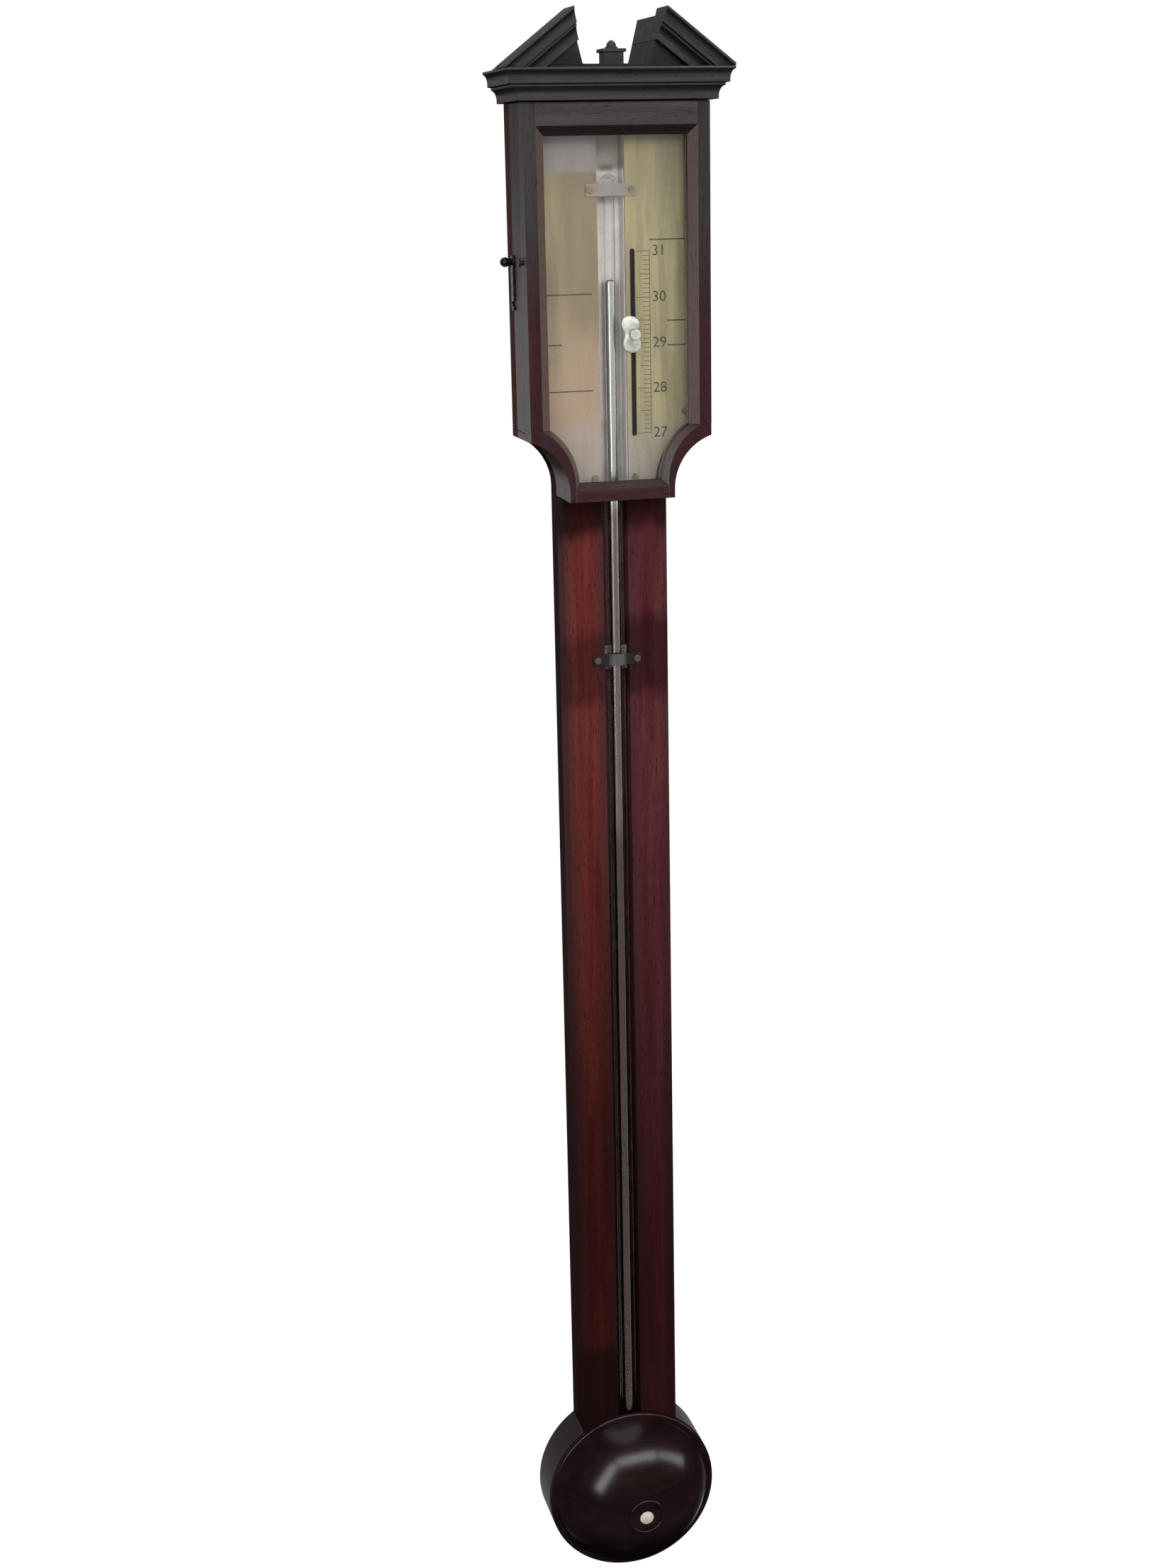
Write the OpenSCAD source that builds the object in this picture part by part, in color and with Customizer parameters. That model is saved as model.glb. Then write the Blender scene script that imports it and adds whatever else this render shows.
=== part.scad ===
// Stick barometer: a wall-hung mercury barometer in a mahogany case with a broken pediment.
// Lengths are millimetres. X runs to the right, Y towards the wall and Z up.
// The origin is the middle of the hanging hole, on the plane of the wall.
// A depth is measured forwards from the wall, so a point at depth d has Y = -d.

/* [Case] */
// Width of the head
head_w = 106; // [102:1:112]
// Width of the trunk
trunk_w = 62; // [58:1:66]
// Thickness of the backboard
back_t = 12; // [11:0.5:13]
// Depth of the trunk, wall to front
trunk_d = 27; // [26:0.5:29]
// Depth of the head's box, wall to the seam of the door
head_d = 32; // [31:0.5:36]
// Thickness of the head's sides and floor
wall_t = 6; // [5:0.5:7]
// Height of the rail across the top of the head's box
head_rail_h = 10; // [8:0.5:12]
// Width of the channel that the tube lies in
channel_w = 15; // [14:0.5:15.5]
// Depth of that channel below the trunk's front
channel_d = 9; // [8.5:0.5:10]
// From the lowest mark of the scale down to the bottom of the head
head_drop = 35.8; // [32:0.2:40]
// Radius of the hollow shoulders under the head
shoulder_r = 31; // [28:1:36]
// Straight length below each shoulder
shoulder_tail = 5; // [3:0.5:8]

/* [Pediment] */
// From the top of the tube up to the underside of the cornice
cornice_rise = 38.6; // [36:0.2:42]
// Height of the cornice
cornice_h = 17; // [15:0.5:19]
// How far the cornice stands out from the head
cornice_out = 11.5; // [10:0.5:13]
// Height of the cornice's lower moulding
bed_h = 8.6; // [7.5:0.1:9.5]
// How far the lower moulding stands out at its foot
bed_out = 4; // [3:0.5:5]
// How far the lower moulding stands out at its top
bed_top_out = 7; // [6:0.5:8]
// How far the upper moulding stands out at its foot
crown_out = 9; // [8.5:0.5:9.5]
// Height of the flat fillets of the mouldings
fillet_h = 1.6; // [1:0.1:2]
// From the top of the cornice up to the tips of the pediment
peak_rise = 31; // [28:0.5:34]
// Thickness of the raking mouldings, square to their slope
rake_t = 16; // [14:0.5:17]
// Height of a raking moulding at its outer end
rake_heel = 1.5; // [1:0.5:3]
// Width of the break between the tips of the raking mouldings
gap_w = 52; // [46:1:56]
// Lean of the break's sides, in degrees
gap_lean = 14; // [0:1:18]
// Height of the break's floor above the cornice
gap_floor = 2; // [1.5:0.5:3]
// Thickness of the raking mouldings behind the face of the head
crown_t = 10; // [8:1:14]
// How far the pediment's roof lies below the raking mouldings
roof_drop = 3.6; // [2:0.2:5]
// Width and depth of the finial's plinth
plinth_w = 11; // [9:1:13]
// Depth of the plinth's middle from the wall
plinth_d = 35; // [30:1:37]
// Height of the plinth
plinth_h = 8; // [6:0.5:10]
// Height of the plinth's cap
plinth_cap_h = 1.8; // [1.2:0.2:2.4]
// How far the plinth's cap stands out
plinth_cap_out = 1.2; // [0.6:0.2:1.8]
// Radius of the finial at its foot
finial_r = 3.6; // [3:0.1:4.5]
// Height of the finial
finial_h = 4.5; // [3.5:0.5:7]

/* [Door] */
// Thickness of the door's frame
door_t = 13; // [12:0.1:14]
// Width of the door's stiles
stile_w = 12; // [11:0.5:13]
// Width of the door's frame along the shoulders
door_shoulder_w = 6.5; // [6:0.25:8]
// Height of the door's top rail
top_rail_h = 17.5; // [14:0.5:19]
// Height of the door's bottom rail
bottom_rail_h = 10; // [9:0.5:12]
// Thickness of the frame in front of the glass
sight_t = 7; // [6:0.5:7.5]
// Width of the rebate that holds the glass
rebate_w = 2.6; // [2:0.2:3.4]
// Thickness of the glass
glass_t = 1.8; // [1.4:0.1:2.2]
// Thickness of the bead behind the glass
bead_t = 2.4; // [1.8:0.1:2.8]
// Width of the splay round the glass, on the stiles and the top rail
splay_w = 5; // [3:0.5:7]
// Width of that splay on the shoulders and the bottom rail
low_splay_w = 3; // [2:0.5:4]
// Depth of the splay at the sight edge
splay_d = 4; // [3:0.5:5]

/* [Register] */
// Thickness of the silvered plates
plate_t = 1.6; // [1.2:0.1:2]
// Width of the gap between the plates, over the tube
plate_gap = 16; // [15.6:0.2:17]
// Margin between the plates and the head's walls
plate_margin = 1; // [0.5:0.25:1.5]
// Thickness of the silvered strip behind the tube
liner_t = 0.9; // [0.6:0.1:1.2]
// Lowest mark of the scale, in inches of mercury
scale_low = 27; // [26.8:0.1:27.2]
// Highest mark of the scale, in inches of mercury
scale_high = 31; // [30.8:0.1:31.2]
// Where the vernier is set, in inches of mercury
vernier_at = 29.2; // [28:0.1:30]
// Distance from the tube's middle to the vernier's slot
slot_x = 12; // [11.5:0.25:13]
// Width of the vernier's slot
slot_w = 3; // [2.6:0.1:3.4]
// Width of the vernier
vernier_w = 11.6; // [10:0.2:12]
// Height of the vernier
vernier_h = 22; // [18:1:26]
// Thickness of the vernier
vernier_t = 1; // [0.8:0.1:1.4]
// How far the vernier reaches from its slot towards the tube
vernier_reach = 7.2; // [6.5:0.1:7.4]
// Radius of the vernier's finger knob
knob_r = 3.2; // [2.6:0.1:3.6]
// Height of the vernier's finger knob
knob_h = 4.4; // [3.8:0.1:4.8]
// Height of the neck under that knob
knob_neck_h = 1.3; // [1:0.1:1.6]
// Radius of the neck
knob_neck_r = 1.9; // [1.7:0.1:2.2]
// Radius of the knob's rounded edges
knob_edge_r = 0.65; // [0.4:0.05:0.8]
// Height of the brass shoe behind the plate
shoe_h = 14; // [10:1:18]
// Width of the shoe
shoe_w = 6; // [5:0.5:7]
// Thickness of the shoe
shoe_t = 3; // [2.5:0.25:4]

/* [Tube and cistern] */
// From the hanging hole down to the mercury in the cistern
cistern_drop = 832; // [829:1:835]
// Outer diameter of the glass tube
tube_od = 10; // [9:0.25:10.5]
// Bore of the glass tube
tube_bore = 5.6; // [4.4:0.2:6.4]
// Height of the empty tube above the highest mark
vacuum_h = 42; // [36:1:46]
// Height of the mercury column, in inches
mercury_in = 30.4; // [29:0.1:30.9]
// How far the tube dips below the cistern's mercury
tube_dip = 13; // [10:1:16]
// Radius of the boxwood cistern
cistern_r = 18; // [16:0.5:19]
// Thickness of the cistern's wall
cistern_wall = 4; // [3:0.5:5]
// Height of the cistern's body above the mercury
cistern_above = 20; // [16:1:22]
// Depth of the cistern's body below the mercury
cistern_below = 23; // [20:1:25]
// Height of the cistern's cap
cap_h = 6; // [5:0.5:8]
// Depth of the cap's spigot
spigot_h = 4; // [3:0.5:6]
// Height of the cistern's base
base_h = 6; // [5:0.5:8]
// Thickness of the leather under the mercury
leather_t = 1.2; // [0.8:0.1:1.6]
// Radius of the hole in the base under the leather
base_hole_r = 6; // [4:0.5:8]

/* [Cistern cover] */
// Radius of the round block behind the cover
block_r = 55; // [53:1:57]
// Thickness of the cover's rim
rim_t = 4; // [3:0.5:5]
// Radius of the dome at its foot
dome_r = 51; // [48:0.5:52]
// Height of the dome
dome_h = 33; // [30:0.5:36]
// Thickness of the dome's wall
shell_t = 6; // [5:0.5:7]
// Radius of the turned ring round the button
ring_r = 11; // [9:0.5:14]
// Radius of that ring's bead
ring_bead_r = 1.3; // [0.8:0.1:1.8]
// Radius of the bone button
button_r = 4.6; // [3.6:0.2:6]
// Height of the button
button_h = 2.6; // [2:0.2:4]
// Radius of the button's stem
stem_r = 2; // [1.5:0.25:2.5]

/* [Hardware] */
// Height of each hinge
hinge_h = 22; // [18:1:26]
// Radius of a hinge's knuckles
knuckle_r = 2; // [1.8:0.1:2.4]
// Radius of a hinge's pin
hinge_pin_r = 0.9; // [0.7:0.1:1.1]
// Height of the two outer knuckles of a hinge
outer_knuckle_h = 6.6; // [5:0.2:7]
// How far the hinges' line stands out from the side of the head
hinge_out = 1.2; // [1:0.1:1.5]
// Thickness of a hinge's leaves
leaf_t = 1.4; // [1.3:0.1:1.6]
// Width of a hinge's leaves
leaf_w = 5.7; // [5.6:0.1:5.9]
// From the top of the door down to the middle of the lower hinge
lower_hinge_drop = 153.5; // [146:0.5:158]
// From the lower hinge up to the upper hinge
upper_hinge_rise = 126; // [118:1:130]
// From the top of the door down to the hook's pivot
hook_drop = 84.5; // [76:0.5:96]
// Depth of the hook's pivot from the wall
hook_d = 16; // [15:0.5:18]
// Width of the hook
hook_w = 5; // [4.6:0.2:6]
// Thickness of the hook
hook_t = 1.5; // [1.2:0.1:2]
// Radius of the hook's eye
hook_eye_r = 3.8; // [3.4:0.1:4.4]
// Length of the hook past the pin that it catches
hook_nose = 4; // [3.6:0.2:5]
// Radius of the pin that the hook catches
catch_pin_r = 1.2; // [1:0.1:1.4]
// Radius of that pin's head
catch_head_r = 1.9; // [1.7:0.1:2.2]
// Radius of the knob on the hook's pivot
pivot_knob_r = 2.75; // [2.5:0.25:4]
// Length of the neck under that knob
pivot_neck_h = 0.8; // [0.6:0.1:1.5]
// Radius of the pivot's shank
pivot_r = 1.3; // [1.1:0.1:1.5]
// Width of the hanging plate
hang_plate_w = 26; // [24:1:30]
// Height of the hanging plate
hang_plate_h = 50; // [48:1:60]
// Thickness of the hanging plate
hang_plate_t = 2; // [1.8:0.1:2.6]
// Radius of the hanging hole
hang_hole_r = 5.5; // [5:0.25:6]
// Width of the slot above the hanging hole
hang_slot_w = 5; // [4:0.25:6]
// Height of that slot above the hanging hole's middle
hang_slot_h = 12; // [10:0.5:13]
// Least height of the head above the hanging plate
hang_cover = 5; // [3:0.5:8]
// Depth of the hollow behind the hanging hole
hang_hollow_d = 8; // [6:0.5:9]
// Height of the straps that hold the tube
clip_h = 7; // [5:0.5:9]
// Thickness of those straps
clip_t = 0.8; // [0.6:0.1:1.2]
// Reach of a strap to each side of the tube
clip_reach = 14.5; // [14:0.5:16]
// From the top of the tube down to the upper strap
upper_clip_drop = 8.4; // [7:0.2:12]
// From the bottom of the head down to the strap on the trunk
lower_clip_drop = 96; // [70:1:140]
// Thickness of the pad between the tube and the channel
pad_t = 3; // [2.5:0.25:4]
// Radius of the screw heads
screw_head_r = 2; // [1.8:0.1:2.3]
// Height of the screw heads
screw_head_h = 0.9; // [0.7:0.1:1.1]
// Radius of the screws' shanks
screw_r = 1; // [0.8:0.1:1.2]
// Length of the screws' shanks
screw_len = 8; // [6:0.5:9]

/* [Fits] */
// Clearance between curved pieces that are glued or pressed together
glue_gap = 0.05; // [0.03:0.01:0.1]
// Radial clearance of pins and pivots
running_gap = 0.05; // [0.03:0.01:0.08]
// Clearance of pieces that slide
slide_gap = 0.2; // [0.1:0.05:0.3]
// Seam between the door and the case
door_seam = 0.3; // [0.2:0.05:0.5]
// Gap between the door's top and the cornice
door_gap = 0.5; // [0.3:0.1:0.8]

/* [Hidden] */
$fn = 64;
inch = 25.4;
over = 1;          // how far a cut runs past the face that it opens
arc_steps = 6;     // straight pieces in the round of a moulding
hang_room = 2;     // room round the nail's head behind the hanging hole
hang_margin = 1.5; // from the hanging screws' heads to the end of their plate
ear_margin = 0.5;  // from a screw's head to the end of a strap's ear or to a hinge's knuckle

mahogany = [0.27, 0.09, 0.06];
dark_mahogany = [0.16, 0.06, 0.05];
boxwood = [0.72, 0.55, 0.30];
silvered = [0.72, 0.69, 0.58];
brass = [0.62, 0.48, 0.22];
bone = [0.90, 0.86, 0.78];
quicksilver = [0.55, 0.55, 0.56];
leather = [0.45, 0.32, 0.20];
cork = [0.55, 0.40, 0.25];
window_glass = [0.85, 0.90, 0.90, 0.25];
tube_glass = [0.80, 0.86, 0.86, 0.4];

// Heights: the scale stands at real inches above the mercury, and the head is built round it and the tube
cistern_z = -cistern_drop;
function mark_z(inches) = cistern_z + inches * inch;
vernier_z = mark_z(vernier_at);
tube_top = mark_z(scale_high) + vacuum_h;
tube_end = cistern_z - tube_dip;
head_bottom = mark_z(scale_low) - head_drop;
head_floor = head_bottom + wall_t;
cornice_z = max(tube_top + cornice_rise, hang_plate_h / 2 + hang_cover);
cornice_top = cornice_z + cornice_h;
peak_z = cornice_top + peak_rise;
ground_top = cornice_z - head_rail_h;
door_top = cornice_z - door_gap;
sight_top = door_top - top_rail_h;
sight_bottom = head_bottom + bottom_rail_h;
upper_clip_z = tube_top - upper_clip_drop;
lower_clip_z = head_bottom - lower_clip_drop;
cap_bottom = cistern_z + cistern_above;
cap_top = cap_bottom + cap_h;
body_bottom = cistern_z - cistern_below;
base_top = body_bottom - leather_t;
base_bottom = base_top - base_h;

// Depths from the wall
channel_floor_d = trunk_d - channel_d;
tube_r = tube_od / 2;
tube_d = channel_floor_d + liner_t + glue_gap + tube_r;
plate_front = trunk_d + plate_t;
door_back = head_d + door_seam;
door_front = door_back + door_t;
glass_front = door_front - sight_t;
glass_back = glass_front - glass_t;
vernier_back = plate_front + slide_gap;
vernier_front = vernier_back + vernier_t;

// A hollow shoulder is an arc round a point beside the neck, which ends upright on the neck
shoulder_x = trunk_w / 2 + shoulder_r;
shoulder_z = head_bottom + shoulder_tail;
function arc_top(half_w, arc_r, arc_z) = arc_z + sqrt(pow(arc_r, 2) - pow(half_w - shoulder_x, 2));
neck_half = trunk_w / 2;
sight_half = head_w / 2 - stile_w;
sight_neck = neck_half - door_shoulder_w;
wall_joint = arc_top(head_w / 2 - wall_t, shoulder_r + wall_t, shoulder_z);
stile_joint = arc_top(sight_half, shoulder_r + door_shoulder_w, sight_bottom);

// Pediment
cornice_half = head_w / 2 + cornice_out;
rake_angle = atan2(peak_z - cornice_top - rake_heel, cornice_half - gap_w / 2);
rake_plumb = rake_t / cos(rake_angle);
function gap_half(z) = gap_w / 2 - (peak_z - z) * tan(gap_lean);
function rake_under(x) = peak_z - rake_plumb - (x - gap_w / 2) * tan(rake_angle);
rake_foot_x = gap_w / 2 + (peak_z - rake_plumb - cornice_top) / tan(rake_angle);
gap_foot = cornice_top + gap_floor;
gap_head = max(peak_z, rake_under(0)) + over;

// Radius of the ball whose cap has this foot radius and height
function cap_ball(foot_r, h) = (foot_r * foot_r + h * h) / (2 * h);
ball_r = cap_ball(dome_r, dome_h);
ball_y = rim_t + dome_h - ball_r;
cover_screw_len = trunk_d + rim_t - over;
cover_screw_ring = block_r - rim_t - screw_r;
button_ball_r = cap_ball(button_r, button_h);
mercury_r = tube_bore / 2 - glue_gap;
meniscus_h = mercury_r / 2;
meniscus_ball_r = cap_ball(mercury_r, meniscus_h);

pivot_neck_r = (pivot_r + pivot_knob_r) / 2;

// Turned outline of the finial above its foot, as shares of its radius and height
finial_outline = [[0.7, 0.25], [0.75, 0.5], [0.55, 0.75], [0.2, 1]];

// Fittings
hinge_x = head_w / 2 + hinge_out;
hinge_d = head_d + door_seam / 2;
lower_hinge_z = door_top - lower_hinge_drop;
hinge_zs = [lower_hinge_z + upper_hinge_rise, lower_hinge_z];
inner_knuckle_top = hinge_h - outer_knuckle_h;
hinge_screw_x = hinge_x - knuckle_r - slide_gap - ear_margin - screw_head_r;
hinge_screw_rise = hinge_h / 2 - screw_head_r - over;
hinge_screw_zs = [for (z = hinge_zs, s = [-1, 1]) z + s * hinge_screw_rise];
catch_pin_d = (door_back + door_front) / 2;
hook_reach = catch_pin_d - hook_d;
hook_z = door_top - hook_drop;
hook_x = -(head_w / 2 + slide_gap);
clip_screw_x = clip_reach - screw_head_r - ear_margin;
clip_seats = [[upper_clip_z, plate_front], [lower_clip_z, trunk_d]];
hang_screw_z = hang_plate_h / 2 - screw_head_r - hang_margin;

// An upright board: extrudes an outline drawn in X and Z from one depth to another
module board(d0, d1) {
    translate([0, -d0, 0]) rotate([90, 0, 0]) linear_extrude(d1 - d0) children();
}

// A block between limits in X, in depth and in Z
module block(x0, x1, d0, d1, z0, z1) {
    translate([x0, -d1, z0]) cube([x1 - x0, d1 - d0, z1 - z0]);
}

// A rod along Y at a place in X and Z
module rod(x, d0, d1, z, r) {
    translate([x, -d0, z]) rotate([90, 0, 0]) cylinder(r = r, h = d1 - d0);
}

// An upright rod on the tube's line
module tube_line(r, z0, z1) {
    translate([0, -tube_d, z0]) cylinder(r = r, h = z1 - z0);
}

// A turned piece whose axis points forwards from depth d
module turned(d) {
    translate([0, -d, cistern_z]) rotate([90, 0, 0]) rotate_extrude() children();
}

// The same piece on the left, for children drawn on the right
module on_left() {
    mirror([1, 0, 0]) children();
}

// An upright outline with hollow shoulders of radius arc_r, whose middles are at height arc_z
module shouldered(half_w, top, bottom, arc_r, arc_z) {
    difference() {
        translate([-half_w, bottom]) square([2 * half_w, top - bottom]);
        for (s = [0, 1]) mirror([s, 0]) {
            translate([shoulder_x, arc_z]) circle(r = arc_r);
            translate([shoulder_x - arc_r, arc_z - shoulder_r]) square([head_w, shoulder_r]);
        }
    }
}

// Outline of the head, taken in all round by inset
module head_outline(inset, top, bottom) {
    shouldered(head_w / 2 - inset, top, bottom, shoulder_r + inset, shoulder_z);
}

// Outline of the opening that the glass shows through, let out all round by grow
module sight_outline(grow) {
    shouldered(sight_half + grow, sight_top + grow, sight_bottom - grow,
               shoulder_r + door_shoulder_w - grow, sight_bottom);
}

// Right half of a flat outline, from x outwards
module right_of(x) {
    intersection() {
        children();
        translate([x, -2 * cistern_drop]) square([head_w, 4 * cistern_drop]);
    }
}

// Shanks of the screws in one plate, or of the whole register with their heads
function register_screw_places() = [
    [head_w / 2 - wall_t - plate_margin - 2 * screw_head_r, ground_top - 3 * screw_head_r],
    [plate_gap / 2 + 2 * screw_head_r, ground_top - 3 * screw_head_r],
    [head_w / 2 - wall_t - plate_margin - 2 * screw_head_r, stile_joint + 3 * screw_head_r],
    [plate_gap / 2 + 2 * screw_head_r, head_floor + plate_margin + 2 * screw_head_r]
];

module register_screw_holes(gap) {
    for (p = register_screw_places())
        rod(p[0], plate_front - screw_len - gap, plate_front + over, p[1], screw_r + gap);
}

// A slotted screw driven back into the case, its head seated at depth d
module screw(x, d, z) {
    difference() {
        union() {
            rod(x, d, d + screw_head_h, z, screw_head_r);
            rod(x, d - screw_len, d + screw_head_h / 2, z, screw_r);
        }
        block(x - screw_head_r, x + screw_head_r, d + screw_head_h / 2, d + screw_head_h + over,
              z - screw_head_h / 4, z + screw_head_h / 4);
    }
}

// A screw whose head lies just below the surface at depth d, driven towards the wall or, with way = 1, away
module flush_screw(x, z, d, way, length) {
    translate([x, -d, z]) rotate([way * 90, 0, 0]) difference() {
        union() {
            translate([0, 0, slide_gap / 2]) cylinder(r = screw_head_r, h = screw_head_h);
            translate([0, 0, screw_head_h]) cylinder(r = screw_r, h = length - screw_head_h);
        }
        translate([-screw_head_r, -screw_head_h / 4, -over])
            cube([2 * screw_head_r, screw_head_h / 2, over + slide_gap / 2 + screw_head_h / 2]);
    }
}

// The hole for such a screw, with room round its head and its shank
module flush_screw_hole(x, z, d, way, length) {
    translate([x, -d, z]) rotate([way * 90, 0, 0]) {
        translate([0, 0, -over])
            cylinder(r = screw_head_r + slide_gap / 2, h = over + slide_gap / 2 + screw_head_h);
        cylinder(r = screw_r + glue_gap, h = length + glue_gap);
    }
}

// The room that the cistern needs inside the case
module cistern_room() {
    tube_line(cistern_r + slide_gap, base_bottom, cap_top + slide_gap);
}

// Case

module hang_hollow() {
    rod(0, -over, hang_plate_t + hang_hollow_d, 0, hang_hole_r + hang_room);
    block(-hang_slot_w / 2 - hang_room, hang_slot_w / 2 + hang_room,
          -over, hang_plate_t + hang_hollow_d, 0, hang_slot_h + hang_room);
}

module hang_outline(gap) {
    square([hang_plate_w + 2 * gap, hang_plate_h + 2 * gap], center = true);
}

module backboard() color(mahogany) difference() {
    union() {
        board(0, back_t) head_outline(0, cornice_top, head_bottom);
        board(0, back_t) translate([-neck_half, cistern_z]) square([trunk_w, head_bottom - cistern_z]);
        board(0, back_t) translate([0, cistern_z]) circle(r = neck_half);
    }
    board(-over, hang_plate_t) hang_outline(glue_gap);
    hang_hollow();
    for (s = [-1, 1]) flush_screw_hole(0, s * hang_screw_z, 0, 1, screw_len);
    cistern_room();
}

module trunk_front() color(mahogany) difference() {
    board(back_t, trunk_d) difference() {
        translate([channel_w / 2, cistern_z]) square([neck_half - channel_w / 2, head_bottom - cistern_z]);
        translate([0, cistern_z]) circle(r = block_r + glue_gap);
    }
    rod(clip_screw_x, back_t - over, trunk_d + over, lower_clip_z, screw_r + glue_gap);
}

module channel_fillet() color(dark_mahogany)
    block(-channel_w / 2, channel_w / 2, back_t, channel_floor_d, cap_top + slide_gap, ground_top);

module head_side() color(dark_mahogany)
    block(head_w / 2 - wall_t, head_w / 2, back_t, head_d, wall_joint, cornice_z);

module head_top_rail() color(dark_mahogany)
    block(wall_t - head_w / 2, head_w / 2 - wall_t, back_t, head_d, ground_top, cornice_z);

module shoulder() color(dark_mahogany) board(back_t, head_d) right_of(channel_w / 2) difference() {
    head_outline(0, wall_joint, head_bottom);
    head_outline(wall_t, wall_joint + over, head_floor);
}

module register_ground() color(mahogany) difference() {
    board(back_t, trunk_d) right_of(channel_w / 2) head_outline(wall_t + glue_gap, ground_top, head_floor);
    register_screw_holes(glue_gap);
    rod(clip_screw_x, back_t + over, trunk_d + over, upper_clip_z, screw_r + glue_gap);
}

// The groove that the vernier's shoe runs in
module shoe_groove()
    block(slot_x - shoe_w / 2 - slide_gap, slot_x + shoe_w / 2 + slide_gap,
          trunk_d - shoe_t - 2 * slide_gap, trunk_d + over,
          mark_z(scale_low) - shoe_h / 2 - over, mark_z(scale_high) + shoe_h / 2 + over);

// Pediment

// Outline of a moulding of height h, as [standing out, height], from its foot up
function quarter(out0, h0, out1, h1) = [
    for (i = [0 : arc_steps]) let (a = 90 * i / arc_steps)
        [out0 + (out1 - out0) * (1 - cos(a)), h0 + (h1 - h0) * sin(a)]
];
function moulding(h) = let (k = h / cornice_h, bed = bed_h * k, f = fillet_h * k) concat(
    [[bed_out, 0]],
    quarter(bed_out, f, bed_top_out, bed - f),
    [[bed_top_out, bed], [crown_out, bed]],
    quarter(crown_out, bed + f, cornice_out, h - f),
    [[cornice_out, h]]
);

// A length of moulding along X that stands out from the face of the head, with more points round its back
module moulding_along(h, length, back_points) {
    rotate([90, 0, 90]) linear_extrude(length) polygon(concat(
        [for (p = moulding(h)) [-(door_front + p[0]), p[1]]],
        [for (p = back_points) [-p[0], p[1]]]
    ));
}

// Right-hand half of the plan of the cornice in front of the mitre line, or beside it
module mitre_plan(points) {
    translate([0, 0, cornice_z - over]) linear_extrude(cornice_h + 2 * over)
        polygon([for (p = points) [p[0], -p[1]]]);
}

module entablature() color(dark_mahogany)
    block(-head_w / 2, head_w / 2, back_t, door_front, cornice_z, cornice_top);

module cornice_front() color(dark_mahogany) intersection() {
    translate([-cornice_half, 0, cornice_z])
        moulding_along(cornice_h, 2 * cornice_half, [[door_front, cornice_h], [door_front, 0]]);
    mitre_plan([
        [-head_w / 2, door_front], [head_w / 2, door_front],
        [cornice_half + over, door_front + cornice_out + over],
        [-cornice_half - over, door_front + cornice_out + over]
    ]);
}

module cornice_return() color(dark_mahogany) intersection() {
    translate([head_w / 2 - door_front, -(door_front + cornice_out), cornice_z]) rotate([0, 0, 90])
        moulding_along(cornice_h, door_front + cornice_out + over,
                       [[door_front, cornice_h], [door_front, 0]]);
    mitre_plan([
        [head_w / 2, 0], [cornice_half + over, 0],
        [cornice_half + over, door_front + cornice_out + over], [head_w / 2, door_front]
    ]);
}

// A raking moulding with the lower roof behind it, cut off at the break and at the cornice's end
module rake() color(dark_mahogany) intersection() {
    translate([gap_w / 2, 0, peak_z]) rotate([0, rake_angle, 0]) translate([-2 * rake_t, 0, -rake_t])
        moulding_along(rake_t, 2 * cornice_half, [
            [door_front - crown_t, rake_t], [door_front - crown_t, rake_t - roof_drop],
            [0, rake_t - roof_drop], [0, 0]
        ]);
    board(-over, door_front + cornice_out + over) polygon([
        [gap_half(cornice_top), cornice_top], [cornice_half, cornice_top],
        [cornice_half, peak_z], [gap_w / 2, peak_z]
    ]);
}

// The solid wood under the raking mouldings: its front is the tympanum, and the break is cut down into it
module pediment_block() color(dark_mahogany) board(0, door_front) difference() {
    polygon([
        [-rake_foot_x, cornice_top], [rake_foot_x, cornice_top],
        [0, rake_under(0)]
    ]);
    polygon([
        [-gap_half(gap_foot), gap_foot], [gap_half(gap_foot), gap_foot],
        [gap_half(gap_head), gap_head], [-gap_half(gap_head), gap_head]
    ]);
}

module finial_plinth() color(dark_mahogany) difference() {
    union() {
        block(-plinth_w / 2, plinth_w / 2, plinth_d - plinth_w / 2, plinth_d + plinth_w / 2,
              gap_foot, gap_foot + plinth_h - plinth_cap_h);
        block(-plinth_w / 2 - plinth_cap_out, plinth_w / 2 + plinth_cap_out,
              plinth_d - plinth_w / 2 - plinth_cap_out, plinth_d + plinth_w / 2 + plinth_cap_out,
              gap_foot + plinth_h - plinth_cap_h, gap_foot + plinth_h);
    }
    translate([0, -plinth_d, gap_foot + plinth_h / 2]) cylinder(r = finial_r / 3 + glue_gap, h = plinth_h);
}

// A low turned knop with a peg in the plinth
module finial() color(dark_mahogany) translate([0, -plinth_d, gap_foot + plinth_h]) {
    translate([0, 0, -plinth_h / 2]) cylinder(r = finial_r / 3, h = plinth_h / 2 + over);
    rotate_extrude() {
        square([finial_r, finial_h * finial_outline[0][1]]);
        polygon(concat(
            [[0, finial_h], [0, finial_h * finial_outline[0][1]]],
            [for (p = finial_outline) [finial_r * p[0], finial_h * p[1]]]
        ));
    }
}

// Cistern and its cover

module cistern_block() color(dark_mahogany) difference() {
    rod(0, 0, trunk_d, cistern_z, block_r);
    board(-over, back_t) {
        translate([-neck_half, cistern_z]) square([trunk_w, block_r + over]);
        translate([0, cistern_z]) circle(r = neck_half + glue_gap);
    }
    cistern_room();
    block(-channel_w / 2, channel_w / 2, back_t - over, trunk_d + over,
          cistern_z, cistern_z + block_r + over);
    cover_screw_holes();
}

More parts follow.
